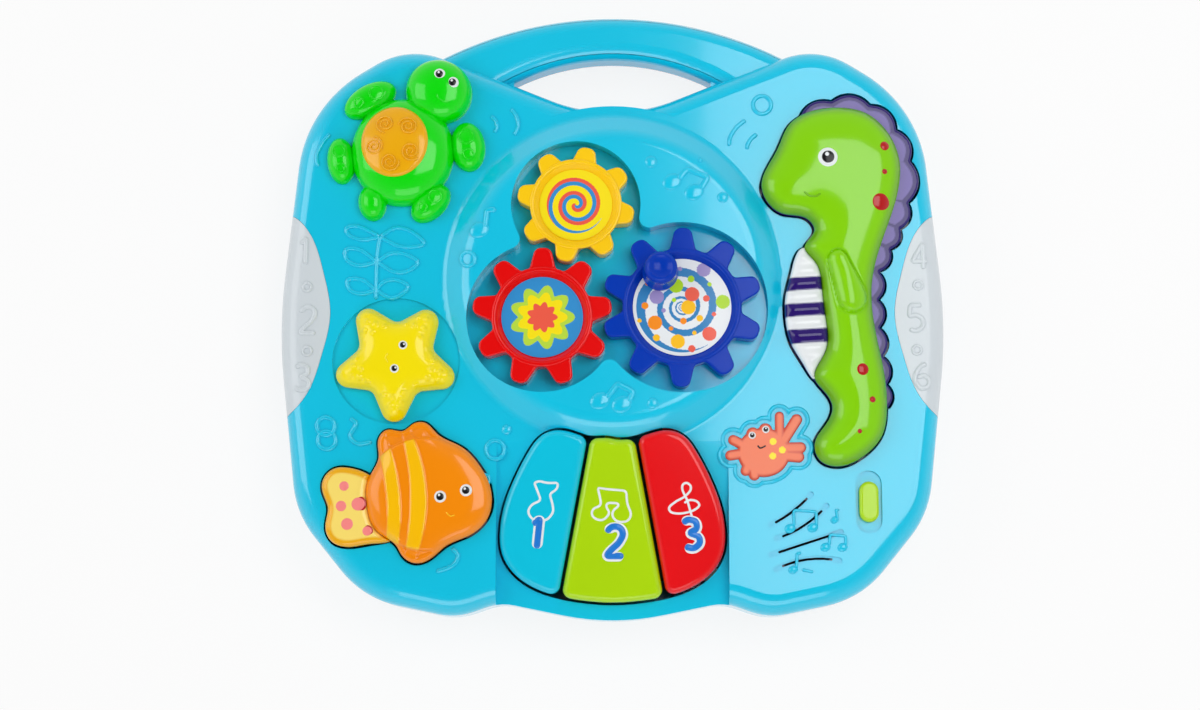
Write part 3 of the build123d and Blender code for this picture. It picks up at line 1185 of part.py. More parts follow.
def speaker_magnet():
    """The magnet under the basket."""
    top = CEILING_Z - SPEAKER_DEPTH
    return disc(SPEAKER_X, SPEAKER_Y, MAGNET_RADIUS, top - MAGNET_DEPTH, top)


def speaker_screws():
    """The screws through the speaker's two ears."""
    seat = CEILING_Z - SPEAKER_FLANGE_THICKNESS
    length = SPEAKER_FLANGE_THICKNESS + WALL / 2 - AXIAL_PLAY
    return [screw_up(x, y, seat, length) for x, y in speaker_ears()]


def case_screws():
    """The screws that hold the two shells together."""
    length = SPLIT_Z - CASE_SCREW_SEAT_Z + CASE_SCREW_LENGTH / 2 - AXIAL_PLAY
    return [screw_up(x, y, CASE_SCREW_SEAT_Z, length) for x, y in CASE_SCREWS]


def board(x, y, width, length, turn=0):
    """A flat circuit board at the common board level."""
    return prism(Pos(x, y) * Rot(0, 0, turn) * Rectangle(width, length), BOARD_Z, BOARD_TOP_Z)


def fish_bar():
    """The retaining bar across the fish's opening, wider towards the fish's nose."""
    left, step, right = [FISH_X + share * FISH_LENGTH for share in FISH_BAR_SHARES]
    wide = retaining_bar(FISH_PLUNGER, (step + right) / 2, right - step, FISH_BAR_WIDTH)
    return wide + retaining_bar(FISH_PLUNGER, (left + right) / 2, right - left, BAR_WIDTH)


def seahorse_board():
    """The long board under both of the seahorse's plungers."""
    (ax, ay), (bx, by) = SEAHORSE_PLUNGERS
    length = math.hypot(bx - ax, by - ay) + 2 * SEAHORSE_BOARD_END
    turn = math.degrees(math.atan2(by - ay, bx - ax)) + 90
    return board((ax + bx) / 2, (ay + by) / 2, SEAHORSE_BOARD_WIDTH, length, turn)


def board_parts():
    """The sealed sound chip and the small round capacitors on the main board."""
    y = MAIN_BOARD_Y + CHIP_Y
    chip = disc(0, y, CHIP_RADIUS, BOARD_TOP_Z, BOARD_TOP_Z + CHIP_HEIGHT)
    chip = fillet(top_edges(chip, BOARD_TOP_Z + CHIP_HEIGHT), CHIP_HEIGHT / 2)
    cans = [disc(s * MAIN_BOARD_WIDTH, y, CAPACITOR_RADIUS, BOARD_TOP_Z, BOARD_TOP_Z + CAPACITOR_HEIGHT)
            for s in CAPACITOR_X_SHARES]
    return [chip, *cans]


def lights(side):
    """The row of small lamps under a light panel."""
    x = side * LIGHT_BOARD_X
    row = []
    for share in LIGHT_SHARES:
        y = PANEL_Y + share * LIGHT_BOARD_LENGTH
        stem_top = BOARD_TOP_Z + LIGHT_HEIGHT - LIGHT_RADIUS
        row.append(disc(x, y, LIGHT_RADIUS, BOARD_TOP_Z, stem_top) + Pos(x, y, stem_top) * Sphere(LIGHT_RADIUS))
    return row


def rubber_feet():
    """The four rubber feet, sunk a little into the base."""
    feet = []
    for x, y in FEET:
        foot = disc(x, y, FOOT_RADIUS, 0, BASE_Z + FOOT_RECESS)
        feet.append(fillet(top_edges(foot, 0), FOOT_EDGE))
    return feet


def seahorse_domes():
    """The rubber domes under the seahorse's plungers."""
    return [dome_switch(x, y) for x, y in SEAHORSE_PLUNGERS]


def main():
    """Builds every piece and writes one file for each."""
    hull = outer_top() - top_cavity()
    star_washer_z = star_boss_z()
    turtle_washer_z = CEILING_Z - AXIAL_PLAY
    pieces = {
        "top_shell": top_shell(hull),
        "bottom_shell": bottom_shell(),
        "left_light_panel": light_panel(hull, -1),
        "right_light_panel": light_panel(hull, 1),
        "battery_door": battery_door(),
        "battery_door_screw": battery_door_screw(),
        "batteries": batteries(),
        "battery_contacts": battery_contacts(),
        "case_screws": case_screws(),
        "rubber_feet": rubber_feet(),
        "crab_badge": crab_badge(),
        "blue_gear": blue_gear(),
        "blue_gear_label": blue_gear_label(),
        "crank_knob": crank_knob(),
        "red_gear": gear("red", RED_X, RED_Y, RED_TEETH, RED_TIP, RED_ROOT, RED_DISH),
        "red_gear_label": gear_label(RED_X, RED_Y, RED_DISH),
        "yellow_gear": gear("yellow", YELLOW_X, YELLOW_Y, YELLOW_TEETH, YELLOW_TIP, YELLOW_ROOT, YELLOW_DISH),
        "yellow_gear_label": gear_label(YELLOW_X, YELLOW_Y, YELLOW_DISH),
        "gear_washers": gear_washers(),
        "gear_screws": gear_screws(),
        "turtle_body": turtle_body(),
        "turtle_shell": turtle_shell(),
        "turtle_washer": boss_washer(TURTLE_X, TURTLE_Y, turtle_washer_z),
        "turtle_screw": boss_screw(TURTLE_X, TURTLE_Y, turtle_washer_z),
        "star": star(),
        "star_washer": boss_washer(STAR_X, STAR_Y, star_washer_z),
        "star_screw": boss_screw(STAR_X, STAR_Y, star_washer_z),
        "fish_body": fish_body(),
        "fish_tail": fish_tail(),
        "fish_bar": fish_bar(),
        "fish_dome": dome_switch(*FISH_PLUNGER),
        "fish_board": board(*FISH_PLUNGER, FISH_BOARD_WIDTH, FISH_BOARD_LENGTH),
        "seahorse_fin": seahorse_fin(),
        "seahorse_body": seahorse_body(),
        "seahorse_belly": seahorse_belly(),
        "seahorse_bars": seahorse_bars(),
        "seahorse_domes": seahorse_domes(),
        "seahorse_board": seahorse_board(),
        "left_key": key(0),
        "middle_key": key(1),
        "right_key": key(2),
        "key_axle": key_axle(),
        "left_key_dome": dome_switch(*KEY_PLUNGERS[0]),
        "middle_key_dome": dome_switch(*KEY_PLUNGERS[1]),
        "right_key_dome": dome_switch(*KEY_PLUNGERS[2]),
        "main_board": board(0, MAIN_BOARD_Y, MAIN_BOARD_WIDTH, MAIN_BOARD_LENGTH),
        "board_parts": board_parts(),
        "left_light_board": board(-LIGHT_BOARD_X, PANEL_Y, LIGHT_BOARD_WIDTH, LIGHT_BOARD_LENGTH),
        "right_light_board": board(LIGHT_BOARD_X, PANEL_Y, LIGHT_BOARD_WIDTH, LIGHT_BOARD_LENGTH),
        "left_lights": lights(-1),
        "right_lights": lights(1),
        "volume_slider": volume_slider(),
        "volume_switch": volume_switch(),
        "speaker_frame": speaker_frame(),
        "speaker_cone": speaker_cone(),
        "speaker_magnet": speaker_magnet(),
        "speaker_screws": speaker_screws(),
    }
    os.makedirs("parts", exist_ok=True)
    for name, piece in pieces.items():
        solids = piece if isinstance(piece, list) else [piece]
        bodies = [solid for part in solids for solid in part.solids()]
        export_step(Compound(children=bodies), os.path.join("parts", name + ".step"))
        print(name, len(bodies), round(sum(body.volume for body in bodies)))


main()
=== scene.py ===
"""Dresses the activity table: moulded animals, printed labels, raised deck lines, numerals and a studio."""

from __future__ import annotations

import json
import logging
import math
from dataclasses import dataclass
from enum import Enum
from typing import Callable, Sequence

import bmesh
import bpy
import numpy as np
import numpy.typing as npt
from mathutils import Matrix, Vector


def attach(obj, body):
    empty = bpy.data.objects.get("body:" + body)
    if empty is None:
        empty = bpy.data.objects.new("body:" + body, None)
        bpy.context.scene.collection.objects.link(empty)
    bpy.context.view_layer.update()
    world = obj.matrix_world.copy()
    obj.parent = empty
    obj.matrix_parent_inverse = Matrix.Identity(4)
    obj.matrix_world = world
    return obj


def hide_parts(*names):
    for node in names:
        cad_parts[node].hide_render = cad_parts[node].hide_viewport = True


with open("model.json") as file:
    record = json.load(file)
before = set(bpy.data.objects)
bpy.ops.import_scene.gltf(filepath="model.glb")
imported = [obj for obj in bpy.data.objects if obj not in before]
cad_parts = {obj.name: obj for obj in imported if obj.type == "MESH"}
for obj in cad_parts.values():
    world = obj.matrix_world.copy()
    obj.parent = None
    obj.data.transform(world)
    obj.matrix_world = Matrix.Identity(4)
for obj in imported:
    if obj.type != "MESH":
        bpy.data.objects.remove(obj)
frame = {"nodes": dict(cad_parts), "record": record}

Array = npt.NDArray[np.float64]
Points = Sequence[tuple[float, float]]
Field = Callable[[Array, Array], Array]
Paint = Callable[[Array, Array, Array], Array]

LOG = logging.getLogger("activity_table")
MM = 0.001

# The photograph's frame and viewpoint: lengths in millimetres, places in its pixels
PHOTO_WIDTH, PHOTO_HEIGHT = 1200, 710
FOCAL_PIXELS = 2090
AIM = (0.0, -6.0, 48.0)
AIM_PIXEL = (612.5, 318.0)
DISTANCE = 1250.0
ELEVATION = math.radians(80)
SENSOR = 36.0
MM_PER_PIXEL = 0.6

# Levels and places that the solids have, in millimetres
PLATEAU_Z = 48.0
DOME_Y, DOME_RADIUS, DOME_SLOPE, DOME_RISE, DOME_ROUND, FOOT_ROUND = 18.0, 101.0, 14.0, 10.0, 14.0, 7.0
APRON_Y, APRON_FALL = -80.0, 12.0 / 105.0
KEY_PROUD = 8.0
LABEL_Z = 55.5
GEAR_TOP_Z = 58.1
CASE_HALF_WIDTH, SHOULDER_ROUND = 199.5, 12.0

# How meshes are cleaned, in metres and radians, and how lines and eyes are drawn
WELD_DISTANCE, SLIVER_EDGE, SHARP_ANGLE = 2e-6, 1e-6, math.radians(50)
LAY_ROUNDS = 3
RIDGE_SINK = 0.4
PUPIL_SHARE, GLINT_AWAY, GLINT_SHARE = 0.62, 0.28, 0.2


def linear(code: str) -> tuple[float, float, float]:
    """The scene-linear colour of a display colour written as six hexadecimal digits.

    Args:
        code: The display colour, such as "07CEE8".

    Returns:
        Red, green and blue as scene-linear numbers.
    """
    channels = [int(code[i:i + 2], 16) / 255 for i in (0, 2, 4)]
    return tuple(c / 12.92 if c <= 0.04045 else ((c + 0.055) / 1.055) ** 2.4 for c in channels)


class Tint(Enum):
    """The table's colours, as display colours."""

    CASE = "06C6E8"
    WHITE = "E8ECEE"
    PANEL = "D0D8DD"
    INK_BLACK = "101014"
    SMOKE = "6E7480"
    TURTLE = "04DE04"
    AMBER = "F0AE08"
    STAR = "F9E302"
    ORANGE = "F98D00"
    STRIPE = "FDC000"
    TAIL = "FDE070"
    PINK = "FA8A88"
    SPOT_RED = "B4060C"
    LIME = "85D101"
    PURPLE = "26086A"
    LILAC = "9A8CC4"
    FIN = "6A5AA6"
    GEAR_RED = "E60404"
    GEAR_YELLOW = "FCCB10"
    GEAR_BLUE = "0238B0"
    KEY_CYAN = "06C4E2"
    KEY_LIME = "AEDA06"
    KEY_RED = "E80C14"
    NUMERAL = "1878D4"
    CORAL = "EE5A44"
    CRAB = "F07850"
    SKY = "2F8FD0"
    MINT = "B8DC40"
    STEEL = "B4B8BE"
    BOARD = "0E5A2C"
    RUBBER = "2A2A2E"
    DOME_GREY = "BDBDB6"


class Label(Enum):
    """The printed faces of the three gears."""

    WHIRL_AND_DOTS = "blue"
    NESTED_STARS = "red"
    TWO_TONE_WHIRL = "yellow"


def photo_point(px: float, py: float, z: float) -> tuple[float, float]:
    """The plan place seen at one pixel of the photograph, at a level: the view ray cut by a level plane.

    Args:
        px: Pixel column.
        py: Pixel row.
        z: Level in millimetres.

    Returns:
        X and Y in millimetres.
    """
    s, c = math.sin(ELEVATION), math.cos(ELEVATION)
    k = (AIM_PIXEL[1] - py) / FOCAL_PIXELS
    dz = z - AIM[2]
    y = (DISTANCE * k - k * dz * s - dz * c) / (s - k * c)
    depth = DISTANCE + y * c - dz * s
    return (px - AIM_PIXEL[0]) * depth / FOCAL_PIXELS, y + AIM[1]


def photo_points(pixels: Points, z: float) -> Array:
    """Plan places, one row each, of several pixels of the photograph at one level."""
    return np.array([photo_point(px, py, z) for px, py in pixels])


def photo_pixels(x: Array, y: Array, z: float) -> tuple[Array, Array]:
    """The pixel columns and rows at which plan places at a level are seen: the view's own projection.

    Args:
        x: Places along X.
        y: Places along Y.
        z: Level in millimetres.

    Returns:
        Pixel columns and pixel rows.
    """
    s, c = math.sin(ELEVATION), math.cos(ELEVATION)
    along, dz = y - AIM[1], z - AIM[2]
    depth = DISTANCE + along * c - dz * s
    return AIM_PIXEL[0] + FOCAL_PIXELS * x / depth, AIM_PIXEL[1] - FOCAL_PIXELS * (along * s + dz * c) / depth


def deck_level(x: Array, y: Array) -> Array:
    """The deck's level in plan: the plateau, and the dome's slope rounded at its foot and at its rim.

    Args:
        x: Places along X.
        y: Places along Y.

    Returns:
        The level at every place.
    """
    reach = np.hypot(x, y - DOME_Y)
    crest, lean = DOME_RADIUS - DOME_SLOPE, math.atan2(DOME_RISE, DOME_SLOPE)
    ease, arc = DOME_ROUND * math.tan(lean / 2), DOME_ROUND * math.sin(lean)
    heel, bend = FOOT_ROUND * math.tan(lean / 2), FOOT_ROUND * math.sin(lean)
    foot = FOOT_ROUND - np.sqrt(FOOT_ROUND**2 - np.clip(DOME_RADIUS + heel - reach, 0, bend) ** 2)
    rim = DOME_RISE - DOME_ROUND + np.sqrt(DOME_ROUND**2 - np.clip(reach - crest + ease, 0, arc) ** 2)
    slope = (DOME_RADIUS - reach) * math.tan(lean)
    low, high = DOME_RADIUS - heel * math.cos(lean), crest + ease * math.cos(lean)
    return PLATEAU_Z + np.where(reach > low, foot, np.where(reach > high, slope, rim))


def key_level(y: Array) -> Array:
    """The level of the keys' sloping tops at places along Y."""
    return PLATEAU_Z + KEY_PROUD + APRON_FALL * (y - APRON_Y)


def laid_on(pixels: Points | Array, start: float, level_of: Field) -> Array:
    """Plan places of pixels, each on a ground's own level there: a few rounds of looking up the level.

    Args:
        pixels: Pixels of the photograph.
        start: The level to start from.
        level_of: The ground's level as a function of x and y.

    Returns:
        Plan places, one row each.
    """
    level = np.full(len(pixels), start)
    for _ in range(LAY_ROUNDS):
        flat = np.array([photo_point(px, py, z) for (px, py), z in zip(pixels, level)])
        level = level_of(flat[:, 0], flat[:, 1])
    return flat


def closed_curve(points: Points | Array, count: int) -> Array:
    """A smooth closed curve through points: the periodic cubic spline on their chord lengths.

    Args:
        points: Plan points in order.
        count: How many points to give back.

    Returns:
        An array of count plan points.
    """
    knots = np.asarray(points, float)
    n = len(knots)
    ahead = np.roll(knots, -1, 0) - knots
    steps = np.linalg.norm(ahead, axis=1)
    before = np.roll(steps, 1)
    slope = ahead / steps[:, None]
    rows = np.arange(n)
    system = np.zeros((n, n))
    system[rows, rows] = 2 * (before + steps)
    system[rows, (rows + 1) % n] += steps
    system[rows, rows - 1] += before
    bend = np.linalg.solve(system, 6 * (slope - np.roll(slope, 1, 0)))
    travel = np.concatenate([[0], np.cumsum(steps)])
    t = np.linspace(0, travel[-1], count, endpoint=False)
    k = np.clip(np.searchsorted(travel, t, side="right") - 1, 0, n - 1)
    h = steps[k][:, None]
    a = (travel[k + 1][:, None] - t[:, None]) / h
    b = 1 - a
    after = (k + 1) % n
    return a * knots[k] + b * knots[after] + ((a**3 - a) * bend[k] + (b**3 - b) * bend[after]) * h**2 / 6


def open_curve(points: Points | Array, count: int) -> Array:
    """A smooth open curve through points: Catmull-Rom pieces with the end points mirrored outwards.

    Args:
        points: Plan points in order.
        count: How many points to give back.

    Returns:
        An array of count plan points.
    """
    p = np.asarray(points, float)
    p = np.vstack([2 * p[0] - p[1], p, 2 * p[-1] - p[-2]])
    t = np.linspace(0, len(p) - 3, count)
    k = np.minimum(t.astype(int), len(p) - 4)
    f = (t - k)[:, None]
    a, b, c, d = p[k], p[k + 1], p[k + 2], p[k + 3]
    return (2 * b + (c - a) * f + (2 * a - 5 * b + 4 * c - d) * f**2 + (3 * b - a - 3 * c + d) * f**3) / 2


def stroke(points: Points | Array, count: int = 80, soft: int = 4) -> Array:
    """A drawn line with eased corners: even steps along straight pieces, then a running mean.

    Args:
        points: Plan points in order.
        count: How many points to give back.
        soft: How many neighbours on each side the mean takes in.

    Returns:
        An array of count plan points.
    """
    knots = np.asarray(points, float)
    travel = np.concatenate([[0], np.cumsum(np.linalg.norm(np.diff(knots, axis=0), axis=1))])
    t = np.linspace(0, travel[-1], count)
    line = np.column_stack([np.interp(t, travel, knots[:, axis]) for axis in (0, 1)])
    padded = np.vstack([np.repeat(line[:1], soft, 0), line, np.repeat(line[-1:], soft, 0)])
    window = np.full(2 * soft + 1, 1 / (2 * soft + 1))
    return np.column_stack([np.convolve(padded[:, axis], window, "valid") for axis in (0, 1)])


def ring_points(x: float, y: float, radius: float, count: int) -> Array:
    """Points round a circle: the centre plus the radius turned by even steps."""
    turn = np.radians(np.linspace(0, 360, count, endpoint=False))
    return np.column_stack([x + radius * np.cos(turn), y + radius * np.sin(turn)])


def smooth_step(value: Array, low: float, high: float) -> Array:
    """A soft step from 0 to 1 between two values: 3t squared less 2t cubed."""
    t = np.clip((value - low) / (high - low), 0, 1)
    return t * t * (3 - 2 * t)


def outline_field(outline: Array) -> Field:
    """A function that gives the distance inside a closed outline, negative outside it.

    Args:
        outline: Plan points of a closed polygon.

    Returns:
        A function of x and y: the least distance to any side, signed by an even-odd crossing count.
    """
    a, b = outline, np.roll(outline, -1, 0)
    side = b - a
    square = (side**2).sum(1)

    def distance(x: Array, y: Array) -> Array:
        """The signed distance at every place.

        Args:
            x: Places along X.
            y: Places along Y.

        Returns:
            The signed distance at every place.
        """
        places = np.column_stack([x.ravel(), y.ravel()])
        parts = []
        for chunk in np.array_split(places, max(1, len(places) * len(a) // 4_000_000)):
            offset = chunk[:, None, :] - a[None]
            t = np.clip((offset * side).sum(2) / square, 0, 1)
            least = np.sqrt(((offset - t[..., None] * side) ** 2).sum(2).min(1))
            px, py = chunk[:, :1], chunk[:, 1:]
            spans = (a[:, 1] > py) != (b[:, 1] > py)
            rise = np.where(side[:, 1] == 0, 1, side[:, 1])
            crossing = a[:, 0] + (py - a[:, 1]) * side[:, 0] / rise
            inside = (spans & (px < crossing)).sum(1) % 2 == 1
            parts.append(np.where(inside, least, -least))
        return np.concatenate(parts).reshape(x.shape)

    return distance


def capsule_field(start: tuple[float, float], end: tuple[float, float], radius: float) -> Field:
    """The distance inside a rounded bar: its radius less the distance to its middle line.

    Args:
        start: Plan place of one end.
        end: Plan place of the other end.
        radius: Its radius.

    Returns:
        A function of x and y that gives the signed distance.
    """
    a, ab = np.array(start), np.array(end) - np.array(start)
    square = max(float(ab @ ab), 1e-9)

    def distance(x: Array, y: Array) -> Array:
        """The signed distance at every place."""
        t = np.clip(((x - a[0]) * ab[0] + (y - a[1]) * ab[1]) / square, 0, 1)
        return radius - np.hypot(x - a[0] - t * ab[0], y - a[1] - t * ab[1])

    return distance


def oval_field(x0: float, y0: float, rx: float, ry: float) -> Field:
    """The distance inside an oval, near its edge: its own scaled radius times the mean of its half sizes.

    Args:
        x0: Middle along X.
        y0: Middle along Y.
        rx: Half size along X.
        ry: Half size along Y.

    Returns:
        A function of x and y that gives the signed distance.
    """

    def distance(x: Array, y: Array) -> Array:
        """The signed distance at every place.

        Args:
            x: Places along X.
            y: Places along Y.

        Returns:
            The signed distance at every place.
        """
        u, v = x - x0, y - y0
        reach = np.hypot(u / rx, v / ry)
        steep = np.hypot(u / rx**2, v / ry**2) / np.maximum(reach, 1e-6)
        return (1 - reach) / np.maximum(steep, 1 / max(rx, ry))

    return distance


def any_of(fields: Sequence[Field]) -> Field:
    """The distance inside the union of several fields: the greatest of theirs.

    Args:
        fields: The distance functions to join.

    Returns:
        A function of x and y that gives the signed distance.
    """

    def distance(x: Array, y: Array) -> Array:
        """The signed distance at every place."""
        return np.max([one(x, y) for one in fields], axis=0)

    return distance


def band_of(inner: Field, near: float, far: float) -> Field:
    """The distance inside the band between two offsets outside a field.

    Args:
        inner: The field that the band goes round.
        near: Where the band starts outside it.
        far: Where the band ends outside it.

    Returns:
        A function of x and y that gives the signed distance.
    """

    def distance(x: Array, y: Array) -> Array:
        """The signed distance at every place."""
        return np.minimum(inner(x, y) + far, -(inner(x, y) + near))

    return distance


@dataclass
class Surface:
    """A mesh as arrays: vertices in millimetres, four-cornered faces, and a linear colour for each vertex."""

    vertices: Array
    quads: npt.NDArray[np.int64]
    colours: Array | None = None

    @staticmethod
    def joined(parts: Sequence["Surface"]) -> "Surface":
        """One surface from several: their arrays stacked, with the faces' numbers moved on.

        Args:
            parts: The surfaces to join.

        Returns:
            The joined surface.
        """
        starts = np.cumsum([0] + [len(part.vertices) for part in parts])
        quads = np.vstack([part.quads + start for part, start in zip(parts, starts)])
        tinted = parts[0].colours is not None
        colours = np.vstack([part.colours for part in parts]) if tinted else None
        return Surface(np.vstack([part.vertices for part in parts]), quads, colours)

    def painted(self, colour: Array) -> "Surface":
        """The same surface with one colour on every vertex."""
        return Surface(self.vertices, self.quads, np.tile(colour, (len(self.vertices), 1)))


def tint(colour: Tint) -> Array:
    """A named colour as a scene-linear array of three."""
    return np.array(linear(colour.value))


def lattice(rows: int, columns: int, wrap: bool) -> npt.NDArray[np.int64]:
    """The quads of a grid whose columns may close on themselves: each cell's four corners in turn.

    Args:
        rows: Rows of vertices.
        columns: Columns of vertices.
        wrap: Whether the columns close on themselves.

    Returns:
        Four vertex numbers for each face.
    """
    index = np.arange(rows * columns).reshape(rows, columns)
    if wrap:
        index = np.column_stack([index, index[:, 0]])
    return np.stack([index[:-1, :-1], index[:-1, 1:], index[1:, 1:], index[1:, :-1]], -1).reshape(-1, 4)


def dome(x0: float, y0: float, low: float, rx: float, ry: float, height: float, turn: float = 0,
         fullness: float = 2.0, rows: int = 20, columns: int = 48) -> Surface:
    """A closed cushion dome on a flat base.

    A point at angle a round the middle and b up from the base lies at rx cos(a) and ry sin(a), both times
    cos(b) to the power 2 / fullness, and at height sin(b) to the same power.

    Args:
        x0: Middle along X.
        y0: Middle along Y.
        low: Level of the base.
        rx: Half size along the dome's own first axis.
        ry: Half size along its second axis.
        height: Height above the base.
        turn: Turn of the first axis from X, in degrees.
        fullness: 2 for an ellipse, more for squarer shoulders.
        rows: Rows from base to top.
        columns: Columns round.

    Returns:
        The dome with its base closed.
    """
    b = np.linspace(0, math.pi / 2, rows)
    a = np.linspace(0, 2 * math.pi, columns, endpoint=False)
    out = np.concatenate([[0], np.cos(b) ** (2 / fullness)])[:, None]
    up = np.concatenate([[0], np.sin(b) ** (2 / fullness)])[:, None]
    out[-1] = 0
    u, v = out * rx * np.cos(a), out * ry * np.sin(a)
    cos, sin = math.cos(math.radians(turn)), math.sin(math.radians(turn))
    z = np.broadcast_to(low + height * up, u.shape)
    grid = np.stack([x0 + u * cos - v * sin, y0 + u * sin + v * cos, z], -1)
    return Surface(grid.reshape(-1, 3), lattice(rows + 1, columns, True))


def ridge(path: Array, levels: Array | float, width: float, height: float,
          closed: bool = False) -> Surface:
    """A raised half-round line: a low arch carried along a path, with rounded ends.

    The section at angle a is half the width times cos(a) to the side and the height times sin(a) up, with its
    underside sunk a little; at an open path's ends the arch shrinks as a circle does.

    Args:
        path: Plan points of the line.
        levels: The level of the ground under each point.
        width: Width of the line.
        height: Height above the ground.
        closed: Whether the path closes on itself.

    Returns:
        The closed tube.
    """
    count = len(path)
    if closed:
        ahead = np.roll(path, -1, 0) - np.roll(path, 1, 0)
        taper = np.ones(count)
    else:
        ahead = np.gradient(path, axis=0)
        travel = np.concatenate([[0], np.cumsum(np.linalg.norm(np.diff(path, axis=0), axis=1))])
        end = np.minimum(travel, travel[-1] - travel)
        taper = np.sqrt(np.clip(1 - (1 - np.minimum(2 * end / width, 1)) ** 2, 0, 1))
    ahead /= np.maximum(np.linalg.norm(ahead, axis=1, keepdims=True), 1e-9)
    side = np.column_stack([-ahead[:, 1], ahead[:, 0]])
    a = np.linspace(0, 2 * math.pi, 12, endpoint=False)
    across = np.cos(a) * width / 2
    rise = np.where(np.sin(a) >= -1e-9, np.sin(a) * height, np.sin(a) * RIDGE_SINK)
    plan = path[:, None, :] + side[:, None, :] * (across[None, :, None] * taper[:, None, None])
    z = np.broadcast_to(np.asarray(levels, float), (count,))[:, None] + rise[None] * taper[:, None]
    grid = np.concatenate([plan, z[..., None]], -1)
    if closed:
        grid = np.concatenate([grid, grid[:1]])
    return Surface(grid.reshape(-1, 3), lattice(len(grid), len(a), True))


@dataclass
class Plate:
    """A moulded plate of any plan shape: a wall up from a base and a top that rounds over from its edge.

    At distance d inside the outline the top stands at edge + rise * sqrt(1 - (1 - d / shoulder) squared),
    flat past the shoulder, plus any relief. The plan is a square grid whose rim is moved on to the outline.
    """

    inside: Field
    box: tuple[float, float, float, float]
    low: float
    edge: float
    rise: float
    shoulder: float
    step: float = 0.9
    relief: Callable[[Array, Array, Array], Array] | None = None
    paint: Paint | None = None
    soften: int = 0

    def surface(self) -> Surface:
        """The closed plate: its top, its wall and its flat underside.

        Returns:
            The plate's vertices, faces and colours.
        """
        xs = np.arange(self.box[0] - 2 * self.step, self.box[2] + 2 * self.step, self.step)
        ys = np.arange(self.box[1] - 2 * self.step, self.box[3] + 2 * self.step, self.step)
        gx, gy = np.meshgrid(xs, ys)
        depth = self.inside(gx, gy)
        middle = (depth[:-1, :-1] + depth[:-1, 1:] + depth[1:, :-1] + depth[1:, 1:]) / 4
        index = np.arange(gx.size).reshape(gx.shape)
        cells = np.stack([index[:-1, :-1], index[:-1, 1:], index[1:, 1:], index[1:, :-1]], -1)[middle > 0]
        used, flat = np.unique(cells, return_inverse=True)
        quads = flat.reshape(-1, 4)
        x, y = gx.ravel()[used], gy.ravel()[used]
        edges = np.concatenate([quads[:, [i, (i + 1) % 4]] for i in range(4)])
        keys, counts = np.unique(np.sort(edges, 1), axis=0, return_counts=True)
        code = keys[:, 0] * len(used) + keys[:, 1]
        own = np.sort(edges, 1)
        lone = counts[np.searchsorted(code, own[:, 0] * len(used) + own[:, 1])] == 1
        rim_edges = edges[lone]
        rim = np.unique(rim_edges)
        x[rim], y[rim] = self.on_outline(x[rim], y[rim])
        d = np.maximum(self.inside(x, y), 0)
        d[rim] = 0
        share = np.clip(d / self.shoulder, 0, 1)
        top = self.edge + self.rise * np.sqrt(1 - (1 - share) ** 2)
        top = self.softened(top, quads, rim)
        if self.relief:
            top = top + self.relief(x, y, d)
        upper = np.column_stack([x, y, top])
        lower = np.column_stack([x, y, np.full(len(x), self.low)])
        i, j = rim_edges.T
        wall = np.column_stack([i, i + len(x), j + len(x), j])
        faces = np.vstack([quads, wall, quads[:, ::-1] + len(x)])
        colours = np.tile(self.paint(x, y, d), (2, 1)) if self.paint else None
        return Surface(np.vstack([upper, lower]), faces, colours)

    def on_outline(self, x: Array, y: Array) -> tuple[Array, Array]:
        """Places moved on to the outline: three steps along the distance's own slope.

        Args:
            x: Places along X.
            y: Places along Y.

        Returns:
            The moved places.
        """
        tiny = self.step / 50
        for _ in range(3):
            d = self.inside(x, y)
            sx = (self.inside(x + tiny, y) - self.inside(x - tiny, y)) / (2 * tiny)
            sy = (self.inside(x, y + tiny) - self.inside(x, y - tiny)) / (2 * tiny)
            size = np.maximum(sx**2 + sy**2, 0.25)
            x, y = x - d * sx / size, y - d * sy / size
        return x, y

    def softened(self, top: Array, quads: npt.NDArray[np.int64], rim: npt.NDArray[np.int64]) -> Array:
        """The top's levels averaged with their neighbours a number of times, the rim held.

        Args:
            top: Levels of the top.
            quads: The top's faces.
            rim: Numbers of the rim's vertices.

        Returns:
            The softened levels.
        """
        for _ in range(self.soften):
            total, count = np.zeros_like(top), np.zeros_like(top)
            for a, b in ((0, 1), (1, 2), (2, 3), (3, 0)):
                np.add.at(total, quads[:, a], top[quads[:, b]])
                np.add.at(total, quads[:, b], top[quads[:, a]])
                np.add.at(count, quads[:, a], 1)
                np.add.at(count, quads[:, b], 1)
            mean = (top + total / count) / 2
            mean[rim] = top[rim]
            top = mean
        return top


def box_of(points: Array) -> tuple[float, float, float, float]:
    """The lowest and highest X and Y of plan points."""
    low, high = points.min(0), points.max(0)
    return low[0], low[1], high[0], high[1]


